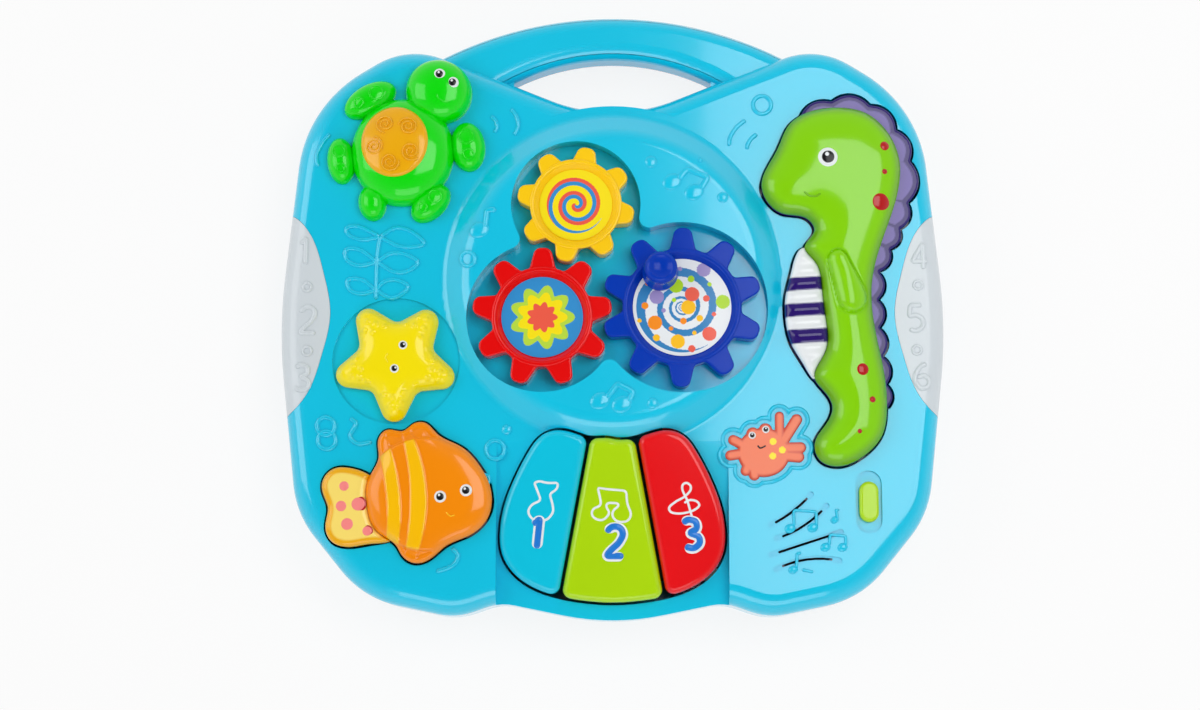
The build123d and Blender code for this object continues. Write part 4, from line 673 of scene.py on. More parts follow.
class Graph:
    """A short hand for one material's nodes around a single surface shader."""

    def __init__(self, name: str) -> None:
        """Makes an empty material with a shader and an output.

        Args:
            name: The material's name.
        """
        self.material = bpy.data.materials.new(name)
        self.material.use_nodes = True
        self.nodes = self.material.node_tree.nodes
        self.links = self.material.node_tree.links
        self.nodes.clear()
        self.shader = self.nodes.new("ShaderNodeBsdfPrincipled")
        output = self.nodes.new("ShaderNodeOutputMaterial")
        self.links.new(self.shader.outputs["BSDF"], output.inputs["Surface"])

    def add(self, kind: str, **settings: object) -> bpy.types.Node:
        """A new node with its settings: sockets by name, and the node's own choices in lower case.

        Args:
            kind: The node's kind.
            settings: Socket values by socket name, or the node's own choices.

        Returns:
            The new node.
        """
        node = self.nodes.new(kind)
        for key, value in settings.items():
            if key in node.inputs:
                node.inputs[key].default_value = value
            else:
                setattr(node, key, value)
        return node

    def join(self, source: bpy.types.NodeSocket, node: bpy.types.Node, socket: str) -> None:
        """Links an output to a node's input."""
        self.links.new(source, node.inputs[socket])


@dataclass(frozen=True)
class Plastic:
    """A moulded plastic: its colour with slow drift, a gloss that varies, and a fine skin texture."""

    name: str
    colour: Tint | None
    roughness: float = 0.16
    coat: float = 0.45
    specular: float = 0.25
    drift: float = 0.04
    skin: float = 0.04
    metallic: float = 0.0
    see_through: float = 0.0

    def material(self) -> bpy.types.Material:
        """The finish's material, made once; with no colour of its own it reads the painted attribute.

        Returns:
            The material.
        """
        title = f"{self.name}_finish"
        known = bpy.data.materials.get(title)
        if known:
            return known
        graph = Graph(title)
        shader = graph.shader
        place = graph.add("ShaderNodeTexCoord").outputs["Object"]
        slow = graph.add("ShaderNodeTexNoise", Scale=18.0, Detail=3.0)
        fine = graph.add("ShaderNodeTexNoise", Scale=1400.0, Detail=2.0)
        graph.join(place, slow, "Vector")
        graph.join(place, fine, "Vector")
        shade = graph.add("ShaderNodeHueSaturation")
        if self.colour:
            shade.inputs["Color"].default_value = (*linear(self.colour.value), 1)
        else:
            paint = graph.add("ShaderNodeAttribute", attribute_name="paint")
            graph.join(paint.outputs["Color"], shade, "Color")
        value = graph.add("ShaderNodeMapRange")
        value.inputs["To Min"].default_value = 1 - self.drift
        value.inputs["To Max"].default_value = 1 + self.drift
        graph.join(slow.outputs["Fac"], value, "Value")
        graph.join(value.outputs["Result"], shade, "Value")
        graph.join(shade.outputs["Color"], shader, "Base Color")
        gloss = graph.add("ShaderNodeMapRange")
        gloss.inputs["To Min"].default_value = self.roughness * 0.8
        gloss.inputs["To Max"].default_value = self.roughness * 1.25
        graph.join(slow.outputs["Fac"], gloss, "Value")
        graph.join(gloss.outputs["Result"], shader, "Roughness")
        bump = graph.add("ShaderNodeBump", Strength=self.skin, Distance=0.0003)
        graph.join(fine.outputs["Fac"], bump, "Height")
        graph.join(bump.outputs["Normal"], shader, "Normal")
        shader.inputs["Coat Weight"].default_value = self.coat
        shader.inputs["Coat Roughness"].default_value = 0.06
        shader.inputs["Specular IOR Level"].default_value = self.specular
        shader.inputs["Metallic"].default_value = self.metallic
        shader.inputs["Transmission Weight"].default_value = self.see_through
        return graph.material


CASE = Plastic("case_plastic", Tint.CASE, coat=0.5, specular=0.5)
PAINTED = Plastic("painted_plastic", None)
PRINT = Plastic("printed_film", None, roughness=0.3, coat=0.4, skin=0.02)
FINISHES = {
    "case_blue": CASE,
    "panel_white": Plastic("milky_panel", Tint.PANEL, roughness=0.35),
    "foot_rubber": Plastic("foot_rubber", Tint.RUBBER, roughness=0.8, coat=0.0, skin=0.3),
    "screw_steel": Plastic("screw_steel", Tint.STEEL, roughness=0.3, coat=0.0, metallic=1.0),
    "contact_steel": Plastic("contact_steel", Tint.STEEL, roughness=0.35, coat=0.0, metallic=1.0),
    "cell_steel": Plastic("cell_sleeve", Tint.SMOKE, roughness=0.3),
    "gear_blue": Plastic("gear_blue", Tint.GEAR_BLUE, coat=0.05, specular=0.15),
    "gear_red": Plastic("gear_red", Tint.GEAR_RED, coat=0.2),
    "gear_yellow": Plastic("gear_yellow", Tint.GEAR_YELLOW, coat=0.2),
    "label_print": PRINT,
    "turtle_green": Plastic("turtle_green", Tint.TURTLE),
    "shell_amber": Plastic("shell_amber", Tint.AMBER),
    "star_yellow": Plastic("star_yellow", Tint.STAR),
    "fish_orange": PAINTED,
    "tail_pale": PAINTED,
    "seahorse_lime": PAINTED,
    "fin_purple": PAINTED,
    "belly_white": PAINTED,
    "key_cyan": Plastic("key_cyan", Tint.KEY_CYAN),
    "key_lime": Plastic("key_lime", Tint.KEY_LIME),
    "key_red": Plastic("key_red", Tint.KEY_RED),
    "thumb_lime": Plastic("thumb_lime", Tint.KEY_LIME),
    "badge_print": PRINT,
    "board_green": Plastic("board_green", Tint.BOARD, roughness=0.4, skin=0.15),
    "part_black": Plastic("part_black", Tint.INK_BLACK, roughness=0.5),
    "dome_rubber": Plastic("dome_rubber", Tint.DOME_GREY, roughness=0.6, coat=0.0),
    "lamp_lens": Plastic("lamp_lens", Tint.WHITE, roughness=0.1, see_through=0.5),
    "inner_plastic": Plastic("inner_plastic", Tint.SMOKE, roughness=0.5),
    "cone_paper": Plastic("cone_paper", Tint.INK_BLACK, roughness=0.8, coat=0.0, skin=0.4),
    "magnet": Plastic("magnet", Tint.SMOKE, roughness=0.6, metallic=0.6),
}
EYE = Plastic("eye_gloss", None, roughness=0.2, coat=0.15, drift=0.0, skin=0.0)
INK = Plastic("raised_ink", None, roughness=0.3, drift=0.02)
SPOT = Plastic("spot_red", Tint.SPOT_RED, roughness=0.2)


def make_piece(name: str, surface: Surface, body: str, finish: Plastic,
               replaced: Sequence[str] = ()) -> bpy.types.Object:
    """Turns a surface into a piece of the table.

    Args:
        name: The piece's name.
        surface: Its arrays.
        body: The moving or fixed body that it rides on.
        finish: Its finish.
        replaced: Solids that it stands for.

    Returns:
        The new object.
    """
    mesh = bpy.data.meshes.new(name)
    mesh.from_pydata((surface.vertices * MM).tolist(), [], surface.quads.tolist())
    if surface.colours is not None:
        layer = mesh.attributes.new("paint", "FLOAT_COLOR", "POINT")
        rgba = np.column_stack([surface.colours, np.ones(len(surface.colours))])
        layer.data.foreach_set("color", rgba.astype(np.float32).ravel())
    work = bmesh.new()
    work.from_mesh(mesh)
    bmesh.ops.remove_doubles(work, verts=work.verts, dist=WELD_DISTANCE)
    bmesh.ops.dissolve_degenerate(work, edges=work.edges, dist=SLIVER_EDGE)
    bmesh.ops.recalc_face_normals(work, faces=work.faces)
    work.to_mesh(mesh)
    work.free()
    return settle(name, mesh, body, finish, replaced)


def settle(name: str, mesh: bpy.types.Mesh, body: str, finish: Plastic,
           replaced: Sequence[str] = ()) -> bpy.types.Object:
    """Links a finished mesh as a piece, smooth, dressed and riding on its body.

    Args:
        name: The piece's name.
        mesh: Its mesh, in place.
        body: The body that it rides on.
        finish: Its finish.
        replaced: Solids that it stands for.

    Returns:
        The new object.
    """
    mesh.materials.clear()
    mesh.materials.append(finish.material())
    mesh.polygons.foreach_set("use_smooth", np.ones(len(mesh.polygons), bool))
    mesh.set_sharp_from_angle(angle=SHARP_ANGLE)
    piece = bpy.data.objects.new(name, mesh)
    bpy.context.scene.collection.objects.link(piece)
    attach(piece, body)
    if replaced:
        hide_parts(*replaced)
    LOG.info("%s: %d faces on %s", name, len(mesh.polygons), body)
    return piece


def eye_surface(x: float, y: float, level: float, radius: float, look: float, lift: float = 1.6) -> Surface:
    """A round eye: a low white dome, with a dark pupil and a small white glint by distance from its middle.

    Args:
        x: Middle along X.
        y: Middle along Y.
        level: Level of its base.
        radius: Its radius.
        look: Direction in which the glint lies, in degrees.
        lift: Its height.

    Returns:
        The painted dome.
    """
    form = dome(x, y, level, radius, radius, lift, rows=24, columns=40)
    dx, dy = form.vertices[:, 0] - x, form.vertices[:, 1] - y
    reach = np.hypot(dx, dy) / radius
    turn = math.radians(look)
    glint = np.hypot(dx / radius - GLINT_AWAY * math.cos(turn), dy / radius - GLINT_AWAY * math.sin(turn))
    colours = np.where((reach < PUPIL_SHARE)[:, None], tint(Tint.INK_BLACK), tint(Tint.WHITE))
    colours = np.where((glint < GLINT_SHARE)[:, None], tint(Tint.WHITE), colours)
    return Surface(form.vertices, form.quads, colours)


@dataclass
class Deck:
    """The raised lines moulded into the case's deck: weed, bubbles, notes and small arcs."""

    width: float = 2.6
    height: float = 1.3
    steps: int = 60
    rings: tuple[tuple[float, float, float], ...] = (
        (762, 105, 9), (495.3, 449.8, 9.3), (325.8, 426.4, 9), (326.8, 440.3, 9), (468, 259, 7),
        (484, 480, 5),
    )
    arcs: tuple[tuple[tuple[float, float], ...], ...] = (
        ((491, 116), (495.5, 121), (497, 127), (494.5, 133)),
        ((511, 109), (516.5, 117), (518, 126), (514.5, 135.5)),
        ((745.5, 120), (736, 128), (730, 138), (729, 146)),
        ((757, 134), (751, 139), (747.5, 145), (747, 149.5)),
    )
    dots: tuple[tuple[float, float, float], ...] = (
        (650.9, 162, 6.4), (722.7, 197.3, 5.7), (652.7, 403.2, 5.7), (506.8, 429.8, 5.3), (700, 160, 2.5),
    )
    weed: tuple[tuple[tuple[float, float], ...], ...] = (
        ((380.4, 236), (379, 244), (377, 262), (376, 300)),
        ((380, 237), (362, 240), (349, 235), (347, 228), (360, 227), (380, 237)),
        ((380, 237), (398, 246), (414, 247), (424, 243), (412, 232), (396, 228), (380, 237)),
        ((377, 262), (360, 266), (347, 260), (346, 250), (360, 250), (377, 262)),
        ((377, 262), (394, 272), (408, 271), (418, 262), (404, 254), (390, 254), (377, 262)),
        ((376, 290), (362, 294), (350, 290), (348, 280), (362, 280), (376, 290)),
        ((376, 290), (390, 298), (402, 294), (408, 286), (396, 280), (384, 282), (376, 290)),
        ((330, 134), (322, 144), (316.5, 156), (318, 167)),
        ((452, 548), (458, 556), (452, 566), (436, 572)),
        ((350, 418), (356, 424), (350, 436), (358, 444), (372, 442)),
    )
    heads: tuple[tuple[float, float, float], ...] = (
        (672, 181.7, 6.2), (694, 192, 6.2), (599.9, 400.9, 6.2), (621.7, 404.4, 6.2), (479.4, 229.9, 6.0),
        (790, 528.4, 3.4), (812.8, 527.7, 3.4), (834.5, 520, 2.6), (825.4, 547.3, 3.2), (842.6, 547.3, 3.2),
        (793, 569.8, 3.0),
    )
    stems: tuple[tuple[float, tuple[tuple[float, float], ...]], ...] = (
        (3.6, ((678, 180), (687, 169), (708, 177.4), (700, 190))),
        (3.6, ((606, 399), (618, 383.8), (633.5, 392), (628, 403))),
        (3.4, ((485, 228), (487, 210.5), (496.4, 209.4))),
        (1.9, ((794, 527), (793.8, 510.2), (816.3, 511.6), (816.6, 526))),
        (1.7, ((837.6, 519), (836, 510), (839.5, 510))),
        (1.9, ((829, 546), (830.3, 534.7), (845.7, 536), (846, 546))),
        (1.9, ((796.5, 568), (797.3, 553.6), (801.6, 553))),
        (1.9, ((802, 569.8), (813.5, 571.9))),
    )

    @staticmethod
    def laid(pixels: Points | Array) -> Array:
        """Plan places of pixels on the deck."""
        return laid_on(pixels, PLATEAU_Z, deck_level)

    def line(self, pixels: Points | Array, closed: bool = False) -> Surface:
        """A raised line through pixels of the photograph, laid on the deck.

        Args:
            pixels: Pixels of the photograph.
            closed: Whether the line closes on itself.

        Returns:
            The raised line.
        """
        flat = self.laid(pixels)
        path = closed_curve(flat, self.steps) if closed else open_curve(flat, self.steps)
        return ridge(path, deck_level(path[:, 0], path[:, 1]), self.width, self.height, closed)

    def bump(self, px: float, py: float, rx: float, ry: float, turn: float) -> Surface:
        """A low oval dome on the deck at a pixel of the photograph.

        Args:
            px: Pixel column.
            py: Pixel row.
            rx: Half size along its own first axis.
            ry: Half size along its second axis.
            turn: Turn of the first axis from X, in degrees.

        Returns:
            The low dome.
        """
        x, y = self.laid([(px, py)])[0]
        z = float(deck_level(np.array(x), np.array(y)))
        return dome(x, y, z - 0.3, rx, ry, self.height + 0.4, turn)

    def build(self) -> None:
        """Makes every raised line as one piece on the case."""
        parts = [self.line(ring_points(px, py, radius, 24), closed=True) for px, py, radius in self.rings]
        parts += [self.line(strand) for strand in (*self.arcs, *self.weed)]
        for px, py, radius in self.dots:
            parts.append(self.bump(px, py, radius * MM_PER_PIXEL, radius * MM_PER_PIXEL, 0))
        parts += [self.bump(px, py, size, size * 0.8, 25) for px, py, size in self.heads]
        for width, pixels in self.stems:
            path = stroke(self.laid(pixels), self.steps, 3)
            parts.append(ridge(path, deck_level(path[:, 0], path[:, 1]), width, self.height))
        make_piece("deck_lines", Surface.joined(parts), "case", CASE)


@dataclass
class Turtle:
    """The turtle button: a full back, a round head, five limbs and a plate with whirls."""

    x: float = -127.0
    y: float = 95.3
    low: float = 48.3
    half: tuple[float, float] = (31.2, 33.3)
    height: float = 17.0
    plate: tuple[float, float, float, float] = (-130.9, 99.1, 20.2, 22.0)
    proud: float = 1.1
    head: tuple[float, float, float, float, float] = (-105.6, 133.1, 20.6, 19.8, 15.5)
    limbs: tuple[tuple[float, float, float, float, float], ...] = (
        (-147.4, 128.2, 17.2, 9.8, 30), (-87.6, 99.0, 15.4, 10.6, 97), (-164.2, 90.2, 14.4, 8.6, 96),
        (-109.6, 63.8, 14.2, 9.2, 44),
    )
    rear: tuple[float, float, float, float, float] = (-144.8, 64.2, 11.2, 8.6, 99)
    limb_height: float = 9.5
    back_full: float = 2.3
    limb_full: float = 2.2
    head_full: float = 2.4
    head_turn: float = -35.0
    face_share: float = 0.9
    whirls: tuple[tuple[float, float, float], ...] = (
        (385.2, 123.6, 200), (407.9, 126.5, 100), (373.4, 145.6, 20), (389.6, 161.8, 300),
        (410.8, 151.5, 250),
    )
    whirl_reach: float = 5.8
    body: str = "turtle"

    def back_level(self, x: Array, y: Array) -> Array:
        """The level of the back at plan places: the back's own dome."""
        reach = np.clip(np.hypot((x - self.x) / self.half[0], (y - self.y) / self.half[1]), 0, 1)
        return self.low + self.height * (1 - reach**self.back_full) ** (1 / self.back_full)

    def build(self) -> None:
        """Makes the turtle's pieces."""
        back = dome(self.x, self.y, self.low, *self.half, self.height, 0, self.back_full, 36, 96)
        limbs = [dome(x, y, self.low, a, b, self.limb_height, turn, self.limb_full, 24, 60)
                 for x, y, a, b, turn in (*self.limbs, self.rear)]
        hx, hy, ha, hb, hh = self.head
        head = dome(hx, hy, self.low, ha, hb, hh, self.head_turn, self.head_full, 36, 80)
        rings = [self.limb_rings(*limb) for limb in self.limbs]
        smile = self.head_line([(437.2, 94.3), (437.8, 97.8), (440.9, 100.1), (445.4, 101.6), (449.7, 101.6)])
        form = Surface.joined([back, head, smile, *limbs, *[ring for pair in rings for ring in pair]])
        make_piece("turtle_form", form, self.body, FINISHES["turtle_green"], ["turtle_body"])
        make_piece("turtle_plate", self.plate_surface(), self.body, FINISHES["shell_amber"],
                   ["turtle_shell"])
        eyes = [self.head_eye(439.5, 74.5, 6.2), self.head_eye(452.5, 82.5, 6.2)]
        make_piece("turtle_eyes", Surface.joined(eyes), self.body, EYE)

    def limb_rings(self, x: float, y: float, a: float, b: float, turn: float) -> list[Surface]:
        """Two raised rings on a limb, along its long axis, following the limb's own dome.

        Args:
            x: The limb's middle along X.
            y: The limb's middle along Y.
            a: Half its length.
            b: Half its width.
            turn: Turn of the first axis from X, in degrees.

        Returns:
            The two rings.
        """
        cos, sin = math.cos(math.radians(turn)), math.sin(math.radians(turn))
        rings = []
        for share, size in ((0.3, 0.42), (-0.4, 0.28)):
            ring = ring_points(0, 0, size * b, 30)
            u, v = ring[:, 0] + share * a, ring[:, 1]
            reach = np.clip(np.hypot(u / a, v / b), 0, 0.98)
            z = self.low + self.limb_height * (1 - reach**self.limb_full) ** (1 / self.limb_full)
            path = np.column_stack([x + u * cos - v * sin, y + u * sin + v * cos])
            rings.append(ridge(path, z, 1.5, 0.7, True))
        return rings

    def head_level(self, x: Array, y: Array) -> Array:
        """The level of the head's dome at plan places.

        Args:
            x: Places along X.
            y: Places along Y.

        Returns:
            The level at every place.
        """
        hx, hy, ha, hb, hh = self.head
        turn = math.radians(self.head_turn)
        cos, sin = math.cos(turn), math.sin(turn)
        u, v = (x - hx) * cos + (y - hy) * sin, (y - hy) * cos - (x - hx) * sin
        reach = np.clip(np.hypot(u / ha, v / hb), 0, 0.99)
        return self.low + hh * (1 - reach**self.head_full) ** (1 / self.head_full)

    def head_line(self, pixels: Points) -> Surface:
        """A fine raised line on the head.

        Args:
            pixels: Pixels of the photograph.

        Returns:
            The raised line.
        """
        flat = photo_points(pixels, self.low + self.head[4] * self.face_share)
        path = open_curve(flat, 30)
        return ridge(path, self.head_level(path[:, 0], path[:, 1]), 1.2, 0.5)

    def head_eye(self, px: float, py: float, radius: float) -> Surface:
        """An eye on the head.

        Args:
            px: Pixel column.
            py: Pixel row.
            radius: Its radius in pixels.

        Returns:
            The painted eye.
        """
        z = self.low + self.head[4] * self.face_share
        x, y = photo_point(px, py, z)
        level = float(self.head_level(np.array(x), np.array(y)))
        return eye_surface(x, y, level - 1.2, radius * MM_PER_PIXEL, 110, 2.2)

    def plate_surface(self) -> Surface:
        """The plate: an oval that follows the back, a little proud, with five raised whirls.

        Returns:
            The plate with its whirls.
        """
        px, py, rx, ry = self.plate
        inside = oval_field(px, py, rx, ry)
        proud = self.proud

        def relief(x: Array, y: Array, d: Array) -> Array:
            """The back's own level above the lowest one, plus the plate's thickness."""
            return self.back_level(x, y) - self.low + proud * smooth_step(d, 0, 1.2)

        box = (px - rx, py - ry, px + rx, py + ry)
        form = Plate(inside, box, self.low + 9, self.low, 0.0, 1.0, relief=relief)
        parts = [form.surface()]
        for qx, qy, start in self.whirls:
            turn = np.linspace(0, 2.2 * 2 * math.pi, 90)
            reach = 0.6 + (self.whirl_reach - 0.6) * turn / turn[-1]
            x0, y0 = photo_point(qx, qy, self.low + self.height)
            path = np.column_stack([x0 + reach * np.cos(turn + math.radians(start)),
                                    y0 + reach * np.sin(turn + math.radians(start))])
            parts.append(ridge(path, self.back_level(path[:, 0], path[:, 1]) + proud, 1.1, 1.0))
        return Surface.joined(parts)


@dataclass
class Star:
    """The star button: a soft five-pointed cushion with small beads on its arms."""

    x: float = -129.0
    y: float = -32.0
    low: float = 46.8
    tip: float = 47.1
    notch: float = 22.5
    tip_round: float = 7.5
    notch_round: float = 6.5
    phase: float = 53.0
    edge: float = 50.0
    rise: float = 8.0
    shoulder: float = 13.0
    body: str = "star_button"

    def outline(self) -> Array:
        """The star's plan: straight sides between tips and notches, each corner rounded by its own arc.

        Returns:
            Plan points in order.
        """
        half = math.pi / 5
        lean = math.atan2(self.notch * math.sin(half), self.tip - self.notch * math.cos(half))
        arms = math.radians(self.phase) + 2 * half * np.arange(5)[:, None]
        spread = np.linspace(lean - math.pi / 2, math.pi / 2 - lean, 18)
        dip = math.pi + np.linspace(math.pi / 2 - lean - half, lean + half - math.pi / 2, 10)
        out = self.tip - self.tip_round / math.sin(lean)
        back = self.notch + self.notch_round / math.sin(lean + half)
        turns = [(arms, out, self.tip_round, spread), (arms + half, back, self.notch_round, dip)]
        arcs = [np.stack([self.x + away * np.cos(arm) + size * np.cos(arm + sweep),
                          self.y + away * np.sin(arm) + size * np.sin(arm + sweep)], -1)
                for arm, away, size, sweep in turns]
        return np.concatenate(arcs, axis=1).reshape(-1, 2)

    def build(self) -> None:
        """Makes the star, its eyes and its smile."""
        outline = self.outline()[::-1]
        plate = Plate(outline_field(outline), box_of(outline), self.low, self.edge, self.rise, self.shoulder,
                      0.6, self.beads, None, 30)
        make_piece("star_form", plate.surface(), self.body, FINISHES["star_yellow"], ["star"])
        top = self.edge + self.rise - 0.3
        eyes = [eye_surface(*photo_point(px, py, top), top - 0.4, 2.9, 30)
                for px, py in ((402.9, 345), (394.4, 368.5))]
        make_piece("star_eyes", Surface.joined(eyes), self.body, EYE)
        smile = open_curve(photo_points([(388, 353), (385.6, 358), (388, 363)], top), 24)
        line = ridge(smile, top, 1.2, 0.7)
        make_piece("star_smile", line, self.body, FINISHES["star_yellow"])

    def beads(self, x: Array, y: Array, d: Array) -> Array:
        """Small round beads on the arms: soft bumps on a turned grid, away from the middle and the rim.

        Args:
            x: Places along X.
            y: Places along Y.
            d: Distances inside the outline.

        Returns:
            The height to add at every place.
        """
        u, v = (x - self.x) * 0.96 - (y - self.y) * 0.28, (x - self.x) * 0.28 + (y - self.y) * 0.96
        pitch = 5.6
        du, dv = u - pitch * np.round(u / pitch), v - pitch * np.round(v / pitch)
        bump = np.clip(1 - (du**2 + dv**2) / 2.3**2, 0, 1) ** 2
        reach = np.hypot(x - self.x, y - self.y)
        return 1.3 * bump * smooth_step(reach, 19, 21) * smooth_step(d, 2.5, 4)


FISH_BOX = (-121.0, -111.0, 101.0, 83.0)
FISH_SHARES = (
    (0.494, -0.025), (0.471, -0.174), (0.371, -0.294), (0.231, -0.372), (0.137, -0.465), (0.05, -0.493),
    (-0.02, -0.443), (-0.056, -0.372), (-0.167, -0.273), (-0.231, -0.082), (-0.225, 0.096), (-0.167, 0.259),
    (-0.173, 0.372), (-0.12, 0.45), (-0.026, 0.443), (0.032, 0.493), (0.102, 0.5), (0.173, 0.422),
    (0.313, 0.33), (0.418, 0.202), (0.477, 0.074),
)
FISH_TAIL_SHARES = (
    (-0.126, -0.117), (-0.085, -0.33), (-0.213, -0.358), (-0.336, -0.379), (-0.43, -0.344), (-0.471, -0.238),
    (-0.459, -0.103), (-0.494, 0.018), (-0.488, 0.103), (-0.43, 0.174), (-0.342, 0.181), (-0.202, 0.11),
)


def placed(shares: Points, box: tuple[float, float, float, float], count: int) -> Array:
    """A smooth outline from shares of a width and a height about a middle."""
    x, y, width, height = box
    return closed_curve([(x + sx * width, y + sy * height) for sx, sy in shares], count)


@dataclass
class Fish:
    """The fish button: a full body with two bright bands, fins at its edge, and a spotted tail."""

    low: float = 45.3
    edge: float = 51.5
    rise: float = 5.5
    shoulder: float = 15.0
    tail_edge: float = 50.0
    tail_rise: float = 2.4
    body: str = "fish"
    spots: tuple[tuple[float, float, float], ...] = (
        (341, 506, 6.6), (358, 504, 8.2), (347, 524, 7.4), (367, 531, 5.8), (344, 486, 6.0),
    )

    def bands(self, x: Array, y: Array) -> Array:
        """How far a place lies in one of the two bands, from 0 to 1: two arcs across the body.

        Args:
            x: Places along X.
            y: Places along Y.

        Returns:
            A share for every place.
        """
        px, py = photo_pixels(x, y, self.edge + self.rise)
        first = np.abs(px - (394 - 0.0026 * (py - 512) ** 2)) - 6.6
        second = np.abs(px - (418.5 - 0.0027 * (py - 500) ** 2)) - (8.0 - 0.0006 * (py - 505) ** 2)
        return 1 - smooth_step(np.minimum(first, second), -0.5, 0.5)

    def main_oval(self, x: Array, y: Array) -> Array:
        """How far a place lies on the body's main oval rather than on a fin, from 0 to 1."""
        px, py = photo_pixels(x, y, self.edge + self.rise)
        return smooth_step(1 - np.hypot((px - 428) / 66, (py - 494) / 57), -0.01, 0.03)

    def build(self) -> None:
        """Makes the body, the tail, the eyes and the smile."""
        outline = placed(FISH_SHARES, FISH_BOX, 320)

        def relief(x: Array, y: Array, d: Array) -> Array:
            """Raised bands, and fins a step lower than the body."""
            near = smooth_step(d, 1, 4)
            return near * (0.7 * self.bands(x, y) - 2.2 * (1 - self.main_oval(x, y)))

        def paint(x: Array, y: Array, d: Array) -> Array:
            """Orange with two yellow bands."""
            band = (self.bands(x, y) * self.main_oval(x, y))[:, None]
            return tint(Tint.ORANGE) * (1 - band) + tint(Tint.STRIPE) * band

        form = Plate(outline_field(outline), box_of(outline), self.low, self.edge, self.rise, self.shoulder,
                     0.6, relief, paint, 20)
        make_piece("fish_form", form.surface(), self.body, PAINTED, ["fish_body"])
        self.build_tail(outline)
        top = self.edge + self.rise
        eyes = [eye_surface(*photo_point(px, py, top), top - 0.5, 3.7, 120)
                for px, py in ((440.1, 496.6), (465.8, 490.3))]
        make_piece("fish_eyes", Surface.joined(eyes), self.body, EYE)
        smile = open_curve(photo_points([(446, 512), (450, 516), (455, 515)], top), 24)
        line = ridge(smile, top, 0.8, 0.35).painted(tint(Tint.STRIPE))
        make_piece("fish_smile", line, self.body, PAINTED)

    def build_tail(self, fish: Array) -> None:
        """Makes the tail: an amber rim, a paler raised middle, and low round spots ringed in red.

        Args:
            fish: The fish's outline.
        """
        outline = placed(FISH_TAIL_SHARES, FISH_BOX, 240)
        whole, fish_in = outline_field(outline), outline_field(fish)

        def inside(x: Array, y: Array) -> Array:
            """Inside the tail and a little off the body."""
            return np.minimum(whole(x, y), -(fish_in(x, y) + 0.2))

        def paint(x: Array, y: Array, d: Array) -> Array:
            """Amber at the rim, pale yellow inside."""
            rim = smooth_step(whole(x, y), 3.0, 4.2)[:, None]
            return tint(Tint.AMBER) * (1 - rim) + tint(Tint.TAIL) * rim

        plate = Plate(inside, box_of(outline), self.low, self.tail_edge, self.tail_rise, 4.5, 0.7,
                      None, paint)
        make_piece("fish_tail_form", plate.surface(), self.body, PAINTED, ["fish_tail"])
        top = self.tail_edge + self.tail_rise
        spots = []
        for px, py, radius in self.spots:
            x, y = photo_point(px, py, top)
            size = radius * MM_PER_PIXEL
            form = dome(x, y, top - 0.5, size, size, 0.8, rows=30, columns=60)
            rim = np.hypot(form.vertices[:, 0] - x, form.vertices[:, 1] - y) > radius * 0.47
            colours = np.where(rim[:, None], tint(Tint.SPOT_RED), tint(Tint.PINK))
            spots.append(Surface(form.vertices, form.quads, colours))
        make_piece("fish_tail_spots", Surface.joined(spots), self.body, PAINTED)


SEAHORSE_BOX = (137.0, 18.7, 94.0, 228.0)
SEAHORSE_SHARES = (
    (-0.5, 0.252), (-0.462, 0.295), (-0.391, 0.348), (-0.321, 0.409), (-0.16, 0.449), (0, 0.457),
    (0.167, 0.444), (0.308, 0.393), (0.385, 0.316), (0.378, 0.241), (0.314, 0.151), (0.237, 0.063),
    (0.193, -0.017),
    (0.203, -0.132), (0.26, -0.265), (0.27, -0.351), (0.236, -0.42), (0.12, -0.473), (-0.04, -0.5),
    (-0.155, -0.484), (-0.187, -0.441), (-0.11, -0.388), (-0.072, -0.345), (-0.13, -0.3), (-0.18, -0.271),
    (-0.112, -0.201), (-0.101, -0.124), (-0.125, -0.031), (-0.167, 0.039), (-0.231, 0.079), (-0.167, 0.124),
    (-0.212, 0.156), (-0.359, 0.169), (-0.468, 0.204),
)
BELLY_SHARES = (
    (-0.16, 0.063), (-0.051, -0.004), (-0.013, -0.111), (-0.032, -0.217), (-0.17, -0.277), (-0.25, -0.233),
    (-0.327, -0.177), (-0.359, -0.116), (-0.359, -0.057), (-0.321, 0.009), (-0.237, 0.076),
)
FIN_CUSP_SHARES = (
    (-0.25, 0.43), (-0.04, 0.478), (0.21, 0.468), (0.375, 0.4), (0.46, 0.315), (0.44, 0.2), (0.385, 0.13),
    (0.32, 0.075), (0.245, 0.015), (0.235, -0.06), (0.24, -0.135), (0.255, -0.21), (0.277, -0.285),
    (0.283, -0.345),
)
FIN_INNER_SHARES = ((0.16, -0.345), (0.1, -0.1), (0.15, 0.15), (0.1, 0.35))


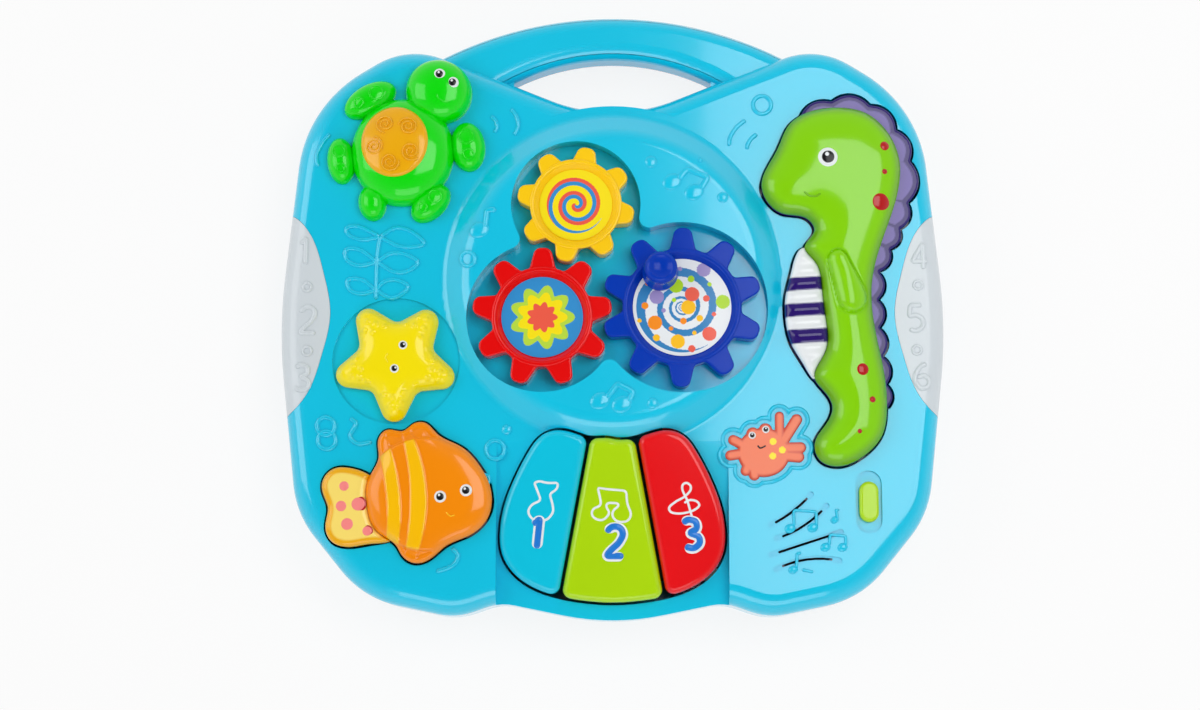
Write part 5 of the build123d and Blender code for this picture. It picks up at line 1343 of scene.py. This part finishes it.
@dataclass
class Seahorse:
    """The seahorse button: a scalloped back fin, a full body with a folded flipper, and a ribbed belly."""

    low: float = 45.3
    fin_top: float = 50.0
    edge: float = 52.5
    rise: float = 9.0
    shoulder: float = 30.0
    belly_edge: float = 52.5
    belly_rise: float = 3.0
    scallop: float = 0.22
    cell_depth: float = 14.0
    body: str = "seahorse"
    spots: tuple[tuple[float, float, float], ...] = (
        (885, 145, 5.4), (885, 171, 3.2), (881, 201, 10), (863, 369, 7), (873, 399, 3.6), (860, 431, 2.6),
    )
    stripes: tuple[tuple[float, float], ...] = ((277, 290), (303, 316), (329, 343))
    stripe_slope: float = 0.06
    stripe_middle: float = 800.0
    rib_crest: float = 283.5
    rib_pitch: float = 13.0

    def level(self, x: Array, y: Array, inside: Field) -> Array:
        """The body's level at plan places, from the distance inside its outline."""
        share = np.clip(inside(x, y) / self.shoulder, 0, 1)
        return self.edge + self.rise * np.sqrt(1 - (1 - share) ** 2)

    def flipper(self, x: Array, y: Array, d: Array) -> Array:
        """The folded flipper: a raised drop that widens downwards, with a soft groove round it.

        Args:
            x: Places along X.
            y: Places along Y.
            d: Distances inside the outline.

        Returns:
            The height to add at every place.
        """
        px, py = photo_pixels(x, y, self.edge + self.rise)
        start, along, radius, wider = (838, 259), (15, 37), 9.5, 5.0
        way = (px - start[0]) * along[0] + (py - start[1]) * along[1]
        t = np.clip(way / (along[0] ** 2 + along[1] ** 2), 0, 1)
        reach = np.hypot(px - start[0] - t * along[0], py - start[1] - t * along[1]) / (radius + wider * t)
        near = smooth_step(d, 1, 4)
        groove = np.exp(-((reach - 1.06) / 0.1) ** 2)
        return near * (3.0 * np.sqrt(np.clip(1 - reach**2, 0, 1)) - 1.0 * groove)

    def fin_arcs(self) -> Array:
        """The fin's scallops, one row of points each: arcs that bulge out between cusps.

        Returns:
            Arcs, each a row of plan points.
        """
        x0, y0, width, height = SEAHORSE_BOX
        cusps = np.array([(x0 + sx * width, y0 + sy * height) for sx, sy in FIN_CUSP_SHARES])
        a, b = cusps[:-1, None, :], cusps[1:, None, :]
        t = np.linspace(0, 1, 15)[None, :, None]
        chord = b - a
        out = np.concatenate([-chord[..., 1:], chord[..., :1]], -1)
        return a + chord * t + out * self.scallop * 4 * t * (1 - t)

    def fin_outline(self) -> Array:
        """The fin's edge: its scallops in turn, closed behind the body.

        Returns:
            Plan points in order.
        """
        x0, y0, width, height = SEAHORSE_BOX
        inner = np.array([(x0 + sx * width, y0 + sy * height) for sx, sy in FIN_INNER_SHARES])
        arcs = self.fin_arcs()
        return np.vstack([arcs[:, :-1].reshape(-1, 2), arcs[-1, -1:], inner])

    def fin_cells(self) -> Field:
        """The distance inside the nearest scallop's own cell, which runs in from its arc towards the body.

        Returns:
            A function of x and y that gives the signed distance.
        """
        cells = []
        for arc in self.fin_arcs():
            chord = arc[-1] - arc[0]
            inward = np.array([chord[1], -chord[0]]) / np.linalg.norm(chord) * self.cell_depth
            cells.append(outline_field(np.vstack([arc, arc[-1:] + inward, arc[:1] + inward])))
        return any_of(cells)

    def build(self) -> None:
        """Makes the fin, the body, the belly, the eye, the smile and the spots."""
        outline = placed(SEAHORSE_SHARES, SEAHORSE_BOX, 420)
        belly = placed(BELLY_SHARES, SEAHORSE_BOX, 160)
        inside, belly_in = outline_field(outline), outline_field(belly)
        fin = self.fin_outline()
        fin_in, cells = outline_field(fin), self.fin_cells()

        def fin_paint(x: Array, y: Array, d: Array) -> Array:
            """Purple along the edge and between the scallops, lilac inside each one."""
            pale = (smooth_step(fin_in(x, y), 3.4, 4.2) * smooth_step(cells(x, y), 0.9, 1.6))[:, None]
            return tint(Tint.PURPLE) * (1 - pale) + tint(Tint.FIN) * pale

        every = np.vstack([fin, outline, belly])
        base = Plate(any_of([fin_in, inside, belly_in]), box_of(every), self.low, self.fin_top - 1.2, 1.2,
                     1.6, 0.7, None, fin_paint)
        make_piece("seahorse_fin_form", base.surface(), self.body, PAINTED, ["seahorse_fin"])

        def skin(x: Array, y: Array, d: Array) -> Array:
            """Lime, darkened towards the edge as painted shade where the body rounds down."""
            # Painted shade: the lime is dimmed to 0.62 at the edge and reaches full strength 7 mm inside.
            return tint(Tint.LIME) * (0.62 + 0.38 * smooth_step(d, 0, 7))[:, None]

        form = Plate(inside, box_of(outline), self.fin_top, self.edge, self.rise, self.shoulder, 0.7,
                     self.flipper, skin, 26)
        make_piece("seahorse_form", form.surface(), self.body, PAINTED, ["seahorse_body"])
        self.build_belly(inside, belly_in, belly)
        self.build_marks(inside)

    def belly_row(self, x: Array, y: Array) -> Array:
        """The pixel rows of places on the belly, taken along its sloping bands."""
        px, py = photo_pixels(x, y, self.belly_edge + self.belly_rise)
        return py + self.stripe_slope * (px - self.stripe_middle)

    def build_belly(self, inside: Field, belly_in: Field, belly: Array) -> None:
        """Makes the belly: white ribs with dark bands between them.

        Args:
            inside: The body's distance function.
            belly_in: The belly's distance function.
            belly: The belly's outline.
        """

        def beside(x: Array, y: Array) -> Array:
            """Inside the belly and just off the body."""
            return np.minimum(belly_in(x, y), -(inside(x, y) + 0.2))

        def paint(x: Array, y: Array, d: Array) -> Array:
            """White with three dark bands that rise a little to the right.

            Args:
                x: Places along X.
                y: Places along Y.
                d: Distances inside the outline; not used.

            Returns:
                A colour for every place.
            """
            row = self.belly_row(x, y)
            dark = np.max([smooth_step(row, a - 1, a + 0.6) * (1 - smooth_step(row, b - 0.6, b + 1))
                           for a, b in self.stripes], axis=0)[:, None]
            return tint(Tint.WHITE) * (1 - dark) + tint(Tint.PURPLE) * dark

        def ribs(x: Array, y: Array, d: Array) -> Array:
            """A wave across the belly, one crest to each band and each white rib."""
            turn = (self.belly_row(x, y) - self.rib_crest) * 2 * math.pi / self.rib_pitch
            return 0.45 * smooth_step(d, 1, 4) * np.cos(turn)

        plate = Plate(beside, box_of(belly), self.fin_top, self.belly_edge, self.belly_rise, 6.0, 0.7,
                      ribs, paint)
        make_piece("seahorse_belly_form", plate.surface(), self.body, PAINTED,
                   ["seahorse_belly"])

    def build_marks(self, inside: Field) -> None:
        """Makes the eye, the smile and the red spots on the body.

        Args:
            inside: The body's distance function.
        """
        top = self.edge + self.rise
        spots = []
        for px, py, radius in self.spots:
            x, y = photo_point(px, py, top - 1)
            spot = dome(x, y, -1.0, radius * MM_PER_PIXEL, radius * 0.62, 1.7)
            spot.vertices[:, 2] += self.level(spot.vertices[:, 0], spot.vertices[:, 1], inside)
            spots.append(spot)
        make_piece("seahorse_spots", Surface.joined(spots), self.body, SPOT)
        x, y = photo_point(828, 157, top)
        z = float(self.level(np.array([x]), np.array([y]), inside)[0])
        make_piece("seahorse_eye", eye_surface(x, y, z - 0.8, 6.2, 110, 2.2), self.body, EYE)
        path = open_curve(photo_points([(804, 191), (810, 195), (816, 195.5), (821, 193)], top - 0.4), 30)
        z = self.level(path[:, 0], path[:, 1], inside)
        smile = ridge(path, z, 1.1, 0.45).painted(tint(Tint.LIME) * 0.7)
        make_piece("seahorse_smile", smile, self.body, PAINTED)


@dataclass
class GearLabels:
    """The printed round labels in the gears' dishes, and the beads at the dishes' rims."""

    places: tuple[tuple[Label, float, float, float], ...] = (
        (Label.WHIRL_AND_DOTS, 41.4, -0.8, 29.3), (Label.NESTED_STARS, -41.8, -6.8, 24.3),
        (Label.TWO_TONE_WHIRL, -22.0, 61.7, 21.8),
    )
    thickness: float = 0.4
    dot_count: int = 26
    rim_out: float = 4.4

    def build(self) -> None:
        """Makes one label for each gear and the round bead at its dish's rim."""
        for label, x, y, radius in self.places:
            name = label.value
            surface = self.disc(label, x, y, radius)
            make_piece(f"{name}_label_print", surface, f"{name}_gear_body", PRINT,
                       [f"{name}_gear_label"])
            bead = ridge(ring_points(x, y, radius + self.rim_out, 160), GEAR_TOP_Z, 2.6, 0.7, True)
            slot = f"gear_{name}"
            make_piece(f"{name}_dish_bead", bead, f"{name}_gear_body", FINISHES[slot])

    def disc(self, label: Label, x0: float, y0: float, radius: float) -> Surface:
        """A thin disc on a polar grid, painted by each vertex's angle and distance.

        Args:
            label: Which gear's label.
            x0: Middle along X.
            y0: Middle along Y.
            radius: Its radius.

        Returns:
            The painted disc.
        """
        reach = np.concatenate([[0, 1], np.linspace(1, 0, 110)])[:, None] * radius
        turn = np.linspace(0, 2 * math.pi, 400, endpoint=False)[None]
        x, y = reach * np.cos(turn), reach * np.sin(turn)
        level = np.where(np.arange(len(reach)) < 2, LABEL_Z - self.thickness, LABEL_Z)[:, None]
        grid = np.stack([x + x0, y + y0, np.broadcast_to(level, x.shape)], -1)
        paint = {Label.WHIRL_AND_DOTS: self.whirl_and_dots, Label.NESTED_STARS: self.nested_stars,
                 Label.TWO_TONE_WHIRL: self.two_tone_whirl}[label]
        colours = paint(x.ravel(), y.ravel(), radius)
        return Surface(grid.reshape(-1, 3), lattice(len(reach), turn.size, True), colours)

    @staticmethod
    def whirl(x: Array, y: Array, pitch: float) -> Array:
        """How far a place lies between one turn of an even spiral and the next, from 0 to 1."""
        return (np.hypot(x, y) / pitch - np.arctan2(y, x) / (2 * math.pi)) % 1

    def whirl_and_dots(self, x: Array, y: Array, radius: float) -> Array:
        """White with one spiral that swells outwards, and dots of many sizes spread by the golden angle.

        Args:
            x: Places along X.
            y: Places along Y.
            radius: The label's radius.

        Returns:
            A colour for every place.
        """
        colours = np.tile(tint(Tint.WHITE), (len(x), 1))
        reach, turn = np.hypot(x, y), np.arctan2(y, x)
        phase = (np.log(np.maximum(reach, 0.5)) / math.log(1.9) - turn / (2 * math.pi)) % 1
        line = (np.abs(phase - 0.5) < 0.2) & (reach < 0.93 * radius)
        colours[line] = tint(Tint.SKY) * 0.8
        inks = [Tint.STRIPE, Tint.CORAL, Tint.KEY_LIME, Tint.LILAC, Tint.ORANGE]
        for k in range(self.dot_count):
            away = 0.92 * radius * math.sqrt((k + 0.5) / self.dot_count)
            angle = k * math.pi * (3 - math.sqrt(5))
            size = 1.3 + 3.3 * (0.5 + 0.5 * math.cos(2.1 * k + 0.4)) ** 2
            near = np.hypot(x - away * math.cos(angle), y - away * math.sin(angle)) < size
            colours[near] = tint(inks[(2 * k) % len(inks)])
        return colours

    def nested_stars(self, x: Array, y: Array, radius: float) -> Array:
        """Blue with three soft-pointed stars inside each other, lime, yellow and coral.

        Args:
            x: Places along X.
            y: Places along Y.
            radius: The label's radius.

        Returns:
            A colour for every place.
        """
        colours = np.tile(tint(Tint.SKY), (len(x), 1))
        reach, turn = np.hypot(x, y), np.arctan2(y, x)
        wave = np.abs(np.cos(turn * 4.5)) ** 1.4
        for share, ink in ((0.8, Tint.MINT), (0.62, Tint.STAR), (0.38, Tint.CORAL)):
            colours[reach < radius * share * (0.74 + 0.26 * wave)] = tint(ink)
        return colours

    def two_tone_whirl(self, x: Array, y: Array, radius: float) -> Array:
        """Yellow with a broad spiral, half of its width blue and half coral.

        Args:
            x: Places along X.
            y: Places along Y.
            radius: The label's radius.

        Returns:
            A colour for every place.
        """
        colours = np.tile(tint(Tint.STAR), (len(x), 1))
        inner = np.hypot(x, y) < 0.8 * radius
        phase = self.whirl(x, y, 8.2)
        colours[(phase > 0.2) & (phase < 0.5) & inner] = tint(Tint.SKY)
        colours[(phase >= 0.5) & (phase < 0.78) & inner] = tint(Tint.CORAL)
        return colours


NUMERALS = {
    "1": ((-0.18, 0.28), (0.04, 0.5), (0.04, -0.5)),
    "2": ((-0.28, 0.24), (-0.2, 0.42), (0.0, 0.5), (0.22, 0.42), (0.28, 0.2), (0.12, -0.08), (-0.14, -0.3),
          (-0.3, -0.5), (0.32, -0.5)),
    "3": ((-0.27, 0.36), (-0.05, 0.5), (0.22, 0.4), (0.22, 0.14), (-0.06, 0.04), (0.26, -0.1), (0.28, -0.34),
          (0.04, -0.5), (-0.28, -0.38)),
    "4": ((0.12, -0.5), (0.12, 0.5), (-0.3, -0.18), (0.32, -0.18)),
    "5": ((0.26, 0.5), (-0.2, 0.5), (-0.24, 0.06), (0.04, 0.14), (0.28, -0.04), (0.26, -0.34), (0.0, -0.5),
          (-0.27, -0.4)),
    "6": ((0.2, 0.46), (-0.06, 0.36), (-0.26, 0.06), (-0.28, -0.24), (-0.06, -0.5), (0.22, -0.42),
          (0.28, -0.16), (0.08, 0.04), (-0.2, -0.1)),
}


def numeral_path(word: str, place: tuple[float, float], height: float, turn: float = 0) -> Array:
    """The plan line of a drawn numeral.

    Args:
        word: The numeral.
        place: Plan place of its middle.
        height: Its height.
        turn: Its turn in plan, in degrees.

    Returns:
        Plan points along its stroke.
    """
    cos, sin = math.cos(math.radians(turn)), math.sin(math.radians(turn))
    drawn = np.array(NUMERALS[word]) * height
    turned = np.column_stack([drawn[:, 0] * cos - drawn[:, 1] * sin, drawn[:, 0] * sin + drawn[:, 1] * cos])
    return stroke(turned + np.array(place), 90, 4)


@dataclass
class Keys:
    """The printing on the three keys: a plain numeral with a pale edge under a drawn note."""

    numerals: tuple[tuple[str, str, float, float, float], ...] = (
        ("left", "1", 537, 534, -6), ("middle", "2", 615, 541, 0), ("right", "3", 691, 534, 6),
    )
    height: float = 17.5
    single: Points = (
        (534.3, 483), (538.8, 480.7), (546.8, 483), (558.4, 482.7), (557, 489.3), (549.5, 493.8),
        (552.5, 503.6), (553.6, 511.6), (548.6, 518.8), (540.5, 521.8), (531.6, 518.8), (527.5, 511.6),
        (531.6, 504.5), (541, 500.4), (537.5, 491),
    )
    double: Points = (
        (597.7, 487.9), (608.4, 489.3), (626.3, 490.7), (627.1, 503.6), (631.6, 514.3), (628, 521.4),
        (618.2, 522.3), (612, 517), (612.9, 509.8), (619.1, 506.3), (619.1, 503.2), (606.6, 502.7),
        (605.7, 507.1), (610.2, 512.5),
        (604.8, 519.6), (598.6, 520.5), (591.4, 516), (592.3, 508.9), (601.3, 505.4), (600, 497.3),
    )
    clef: Points = (
        (683, 520), (688, 523), (692, 519), (690, 510), (687, 500), (682.5, 490), (683, 484.5), (687, 483),
        (690.5, 486), (690, 491), (684, 497), (676, 501.5), (669.5, 507), (671, 512), (680, 513.5),
        (692, 511), (699, 506), (697, 501.5), (690, 500), (684, 503),
    )

    @staticmethod
    def laid(pixels: Points) -> Array:
        """Plan places of pixels on the keys' sloping tops."""
        return laid_on(pixels, PLATEAU_Z + KEY_PROUD, lambda x, y: key_level(y))

    def build(self) -> None:
        """Makes the numerals, their pale edges and the notes."""
        for side, word, px, py, turn in self.numerals:
            x, y = self.laid([(px, py)])[0]
            path = numeral_path(word, (x, y), self.height, turn)
            ground = key_level(path[:, 1])
            edge = ridge(path, ground, 6.4, 0.5).painted(tint(Tint.WHITE))
            body = f"{side}_key_body"
            make_piece(f"{side}_numeral_edge", edge, body, INK)
            face = ridge(path, ground, 4.2, 1.0).painted(tint(Tint.NUMERAL))
            make_piece(f"{side}_numeral", face, body, INK)
        notes = {"left": stroke(self.laid((*self.single, self.single[0])), 160, 4)[:-1],
                 "middle": stroke(self.laid((*self.double, self.double[0])), 200, 4)[:-1],
                 "right": open_curve(self.laid(self.clef), 160)}
        for side, path in notes.items():
            line = ridge(path, key_level(path[:, 1]), 1.4, 0.4, side != "right").painted(tint(Tint.WHITE))
            make_piece(f"{side}_note", line, f"{side}_key_body", INK)


@dataclass
class SidePanels:
    """The raised numerals and rings on the two milky light panels."""

    left: tuple[tuple[str, float, float], ...] = (("1", 305, 252), ("2", 308, 320), ("3", 302, 378))
    right: tuple[tuple[str, float, float], ...] = (("4", 919.5, 257), ("5", 915.5, 318.6), ("6", 922, 376))
    rings: tuple[tuple[float, float], ...] = ((307, 287), (307, 351), (918, 285), (917, 350))
    height: float = 16.0

    def build(self) -> None:
        """Makes three numerals on each panel and the rings between them."""
        parts = []
        for word, px, py in (*self.left, *self.right):
            path = numeral_path(word, photo_point(px, py, PLATEAU_Z - 1), self.height)
            parts.append(ridge(path, self.ground(path), 3.0, 1.1))
        for px, py in self.rings:
            path = ring_points(*photo_point(px, py, PLATEAU_Z), 2.6, 40)
            parts.append(ridge(path, self.ground(path), 1.8, 0.9, True))
        make_piece("panel_marks", Surface.joined(parts), "case", FINISHES["panel_white"])

    @staticmethod
    def ground(plan: Array) -> Array:
        """The panels' level: the plateau, falling as a quarter round at the case's side.

        Args:
            plan: Plan places, one row each.

        Returns:
            The level at every place.
        """
        inset = np.clip(CASE_HALF_WIDTH - np.abs(plan[:, 0]), 0, SHOULDER_ROUND)
        rise = np.sqrt(np.maximum(SHOULDER_ROUND**2 - (SHOULDER_ROUND - inset) ** 2, 0))
        return PLATEAU_Z - SHOULDER_ROUND + rise


@dataclass
class Crab:
    """The printed crab badge and the raised border round its recess."""

    x: float = 91.0
    y: float = -83.0
    width: float = 47.0
    low: float = 47.2
    trunk: tuple[float, float, float, float] = (-0.033, -0.078, 0.33, 0.31)
    brows: tuple[tuple[float, float, float], ...] = ((-0.167, 0.155, 0.083), (-0.008, 0.207, 0.083))
    limbs: tuple[tuple[float, float, float, float, float], ...] = (
        (-0.211, -0.026, -0.415, 0.078, 0.064), (-0.211, -0.078, -0.453, -0.116, 0.064),
        (0.17, 0.078, 0.17, 0.381, 0.057), (0.221, 0.078, 0.387, 0.336, 0.07),
        (0.196, -0.026, 0.431, -0.019, 0.07), (0.196, -0.116, 0.406, -0.136, 0.07),
        (-0.16, -0.258, -0.154, -0.362, 0.07), (-0.211, -0.181, -0.262, -0.31, 0.064),
    )
    spots: Points = ((773, 441.5), (782.3, 450), (772.8, 456))

    def shape(self) -> Field:
        """A crab of an oval trunk, two round brows, two claws and short legs, all as shares of its width.

        Returns:
            A function of x and y that gives the signed distance.
        """
        w = self.width
        x, y, rx, ry = self.trunk
        parts = [oval_field(self.x + x * w, self.y + y * w, rx * w, ry * w)]
        for ax, ay, bx, by, radius in [*((x, y, x, y, r) for x, y, r in self.brows), *self.limbs]:
            start, end = (self.x + ax * w, self.y + ay * w), (self.x + bx * w, self.y + by * w)
            parts.append(capsule_field(start, end, radius * w))
        return any_of(parts)

    def build(self) -> None:
        """Makes the crab, its eyes, its smile and the border."""
        inside = self.shape()
        reach = self.width * 0.66
        box = (self.x - reach, self.y - reach, self.x + reach, self.y + reach)
        top = self.low + 1.2
        spots = photo_points(self.spots, top)

        def paint(x: Array, y: Array, d: Array) -> Array:
            """Orange-red, deeper at the edge, with yellow spots on the back.

            Args:
                x: Places along X.
                y: Places along Y.
                d: Distances inside the outline.

            Returns:
                A colour for every place.
            """
            deep = smooth_step(d, 0.3, 2.2)[:, None]
            colours = tint(Tint.CORAL) * 0.75 * (1 - deep) + tint(Tint.CRAB) * deep
            for sx, sy in spots:
                spot = np.hypot(x - sx, y - sy) < 2.0
                colours = np.where(spot[:, None], tint(Tint.STAR), colours)
            return colours

        badge = Plate(inside, box, self.low, self.low + 0.6, 0.6, 1.2, 0.45, None, paint)
        make_piece("crab_print", badge.surface(), "case", PRINT, ["crab_badge"])
        eyes = [eye_surface(*photo_point(px, py, top), top - 0.3, 2.3, 90, 1.0)
                for px, py in ((752.2, 435.3), (765.8, 429.5))]
        make_piece("crab_eyes", Surface.joined(eyes), "case", EYE)
        path = open_curve(photo_points([(757.5, 445.5), (760.5, 448), (766, 445.6)], top), 24)
        smile = ridge(path, top, 0.9, 0.4).painted(tint(Tint.INK_BLACK))
        make_piece("crab_smile", smile, "case", INK)
        border = Plate(band_of(inside, 2.2, 4.6), box, PLATEAU_Z - 0.5, PLATEAU_Z, 1.0, 1.2, 0.6)
        make_piece("crab_border", border.surface(), "case", CASE)


@dataclass
class Studio:
    """The plain pale floor, the soft lamps and the camera at the photograph's angle."""

    floor_size: float = 6.0

    def build(self) -> None:
        """Makes the floor, the world, the lamps and the camera."""
        self.floor()
        self.world()
        self.lamp("softbox_above", (0.45, 0.18, 1.05), (0.45, 0.18, 0.0), 0.7, 0.75, 5.4)
        self.lamp("softbox_left", (-0.9, 0.2, 0.8), (0.0, 0.0, 0.05), 0.7, 0.7, 3.4)
        self.lamp("softbox_front", (0.0, -1.0, 0.8), (0.0, 0.0, 0.05), 0.9, 0.5, 2.8)
        self.camera()

    def floor(self) -> None:
        """A large flat sheet that the camera sees as near white and that keeps a soft shadow."""
        half = self.floor_size / 2
        corners = np.array([(-half, -half, 0), (half, -half, 0), (half, half, 0), (-half, half, 0)])
        mesh = bpy.data.meshes.new("floor")
        mesh.from_pydata(corners.tolist(), [], [(0, 1, 2, 3)])
        sheet = bpy.data.objects.new("floor", mesh)
        bpy.context.scene.collection.objects.link(sheet)
        material = bpy.data.materials.new("pale_floor")
        material.use_nodes = True
        nodes, links = material.node_tree.nodes, material.node_tree.links
        nodes.clear()
        matt = nodes.new("ShaderNodeBsdfDiffuse")
        matt.inputs["Color"].default_value = (0.86, 0.86, 0.86, 1)
        glow = nodes.new("ShaderNodeEmission")
        glow.inputs["Color"].default_value = (1, 1, 1, 1)
        path = nodes.new("ShaderNodeLightPath")
        weight = nodes.new("ShaderNodeMath")
        weight.operation = "MULTIPLY"
        weight.inputs[1].default_value = 0.85
        seen = nodes.new("ShaderNodeMath")
        seen.operation = "ADD"
        mirrored = nodes.new("ShaderNodeMath")
        mirrored.operation = "ADD"
        mix = nodes.new("ShaderNodeMixShader")
        output = nodes.new("ShaderNodeOutputMaterial")
        links.new(path.outputs["Is Camera Ray"], seen.inputs[0])
        links.new(path.outputs["Is Glossy Ray"], seen.inputs[1])
        links.new(seen.outputs[0], mirrored.inputs[0])
        links.new(path.outputs["Is Transmission Ray"], mirrored.inputs[1])
        links.new(mirrored.outputs[0], weight.inputs[0])
        links.new(weight.outputs[0], mix.inputs[0])
        links.new(matt.outputs[0], mix.inputs[1])
        links.new(glow.outputs[0], mix.inputs[2])
        links.new(mix.outputs[0], output.inputs["Surface"])
        mesh.materials.append(material)

    def world(self) -> None:
        """A pale sky, bright at the horizon and dim overhead: its strength falls with the height of view."""
        world = bpy.data.worlds.new("studio")
        bpy.context.scene.world = world
        world.use_nodes = True
        nodes, links = world.node_tree.nodes, world.node_tree.links
        back = nodes["Background"]
        back.inputs["Color"].default_value = (1.0, 1.0, 1.0, 1)
        way = nodes.new("ShaderNodeTexCoord")
        split = nodes.new("ShaderNodeSeparateXYZ")
        fall = nodes.new("ShaderNodeMapRange")
        fall.inputs["To Min"].default_value = 1.1
        fall.inputs["To Max"].default_value = 0.1
        links.new(way.outputs["Generated"], split.inputs[0])
        links.new(split.outputs["Z"], fall.inputs["Value"])
        links.new(fall.outputs["Result"], back.inputs["Strength"])

    def lamp(self, name: str, place: tuple[float, float, float], aim: tuple[float, float, float],
             width: float, height: float, power: float) -> None:
        """A rectangular softbox aimed at a point.

        Args:
            name: Its name.
            place: Where it stands, in metres.
            aim: The point that it faces.
            width: Its width.
            height: Its height.
            power: Its power in watts.
        """
        light = bpy.data.lights.new(name, "AREA")
        light.shape = "RECTANGLE"
        light.size, light.size_y, light.energy = width, height, power
        holder = bpy.data.objects.new(name, light)
        holder.location = place
        holder.rotation_euler = (Vector(aim) - Vector(place)).to_track_quat("-Z", "Y").to_euler()
        bpy.context.scene.collection.objects.link(holder)

    def camera(self) -> None:
        """The camera, at the photograph's distance, tilt and framing."""
        lens = bpy.data.cameras.new("camera")
        lens.sensor_width = SENSOR
        lens.lens = FOCAL_PIXELS * SENSOR / PHOTO_WIDTH
        lens.shift_x = (PHOTO_WIDTH / 2 - AIM_PIXEL[0]) / PHOTO_WIDTH
        lens.shift_y = (AIM_PIXEL[1] - PHOTO_HEIGHT / 2) / PHOTO_WIDTH
        lens.clip_start = 0.01
        eye = bpy.data.objects.new("camera", lens)
        away = Vector((0, -math.cos(ELEVATION), math.sin(ELEVATION))) * DISTANCE * MM
        eye.location = Vector(AIM) * MM + away
        eye.rotation_euler = (math.pi / 2 - ELEVATION, 0, 0)
        bpy.context.scene.collection.objects.link(eye)
        bpy.context.scene.camera = eye


def dress_solids() -> None:
    """Gives every carried-over solid the finish of its material slot."""
    slots = {row["node"]: row["material_slot"] for row in frame["record"]["subparts"]}
    for name, solid in frame["nodes"].items():
        finish = FINISHES.get(slots[name], CASE)
        solid.data.materials.clear()
        solid.data.materials.append(finish.material())


def main() -> None:
    """Builds the table's pieces in order."""
    logging.basicConfig(level=logging.INFO, format="%(message)s")
    bpy.context.scene.view_settings.view_transform = "Standard"
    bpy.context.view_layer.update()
    dress_solids()
    for part in (Studio(), Deck(), Turtle(), Star(), Fish(), Seahorse(), GearLabels(), Keys(), SidePanels(),
                 Crab()):
        part.build()


if __name__ == "__main__":
    main()
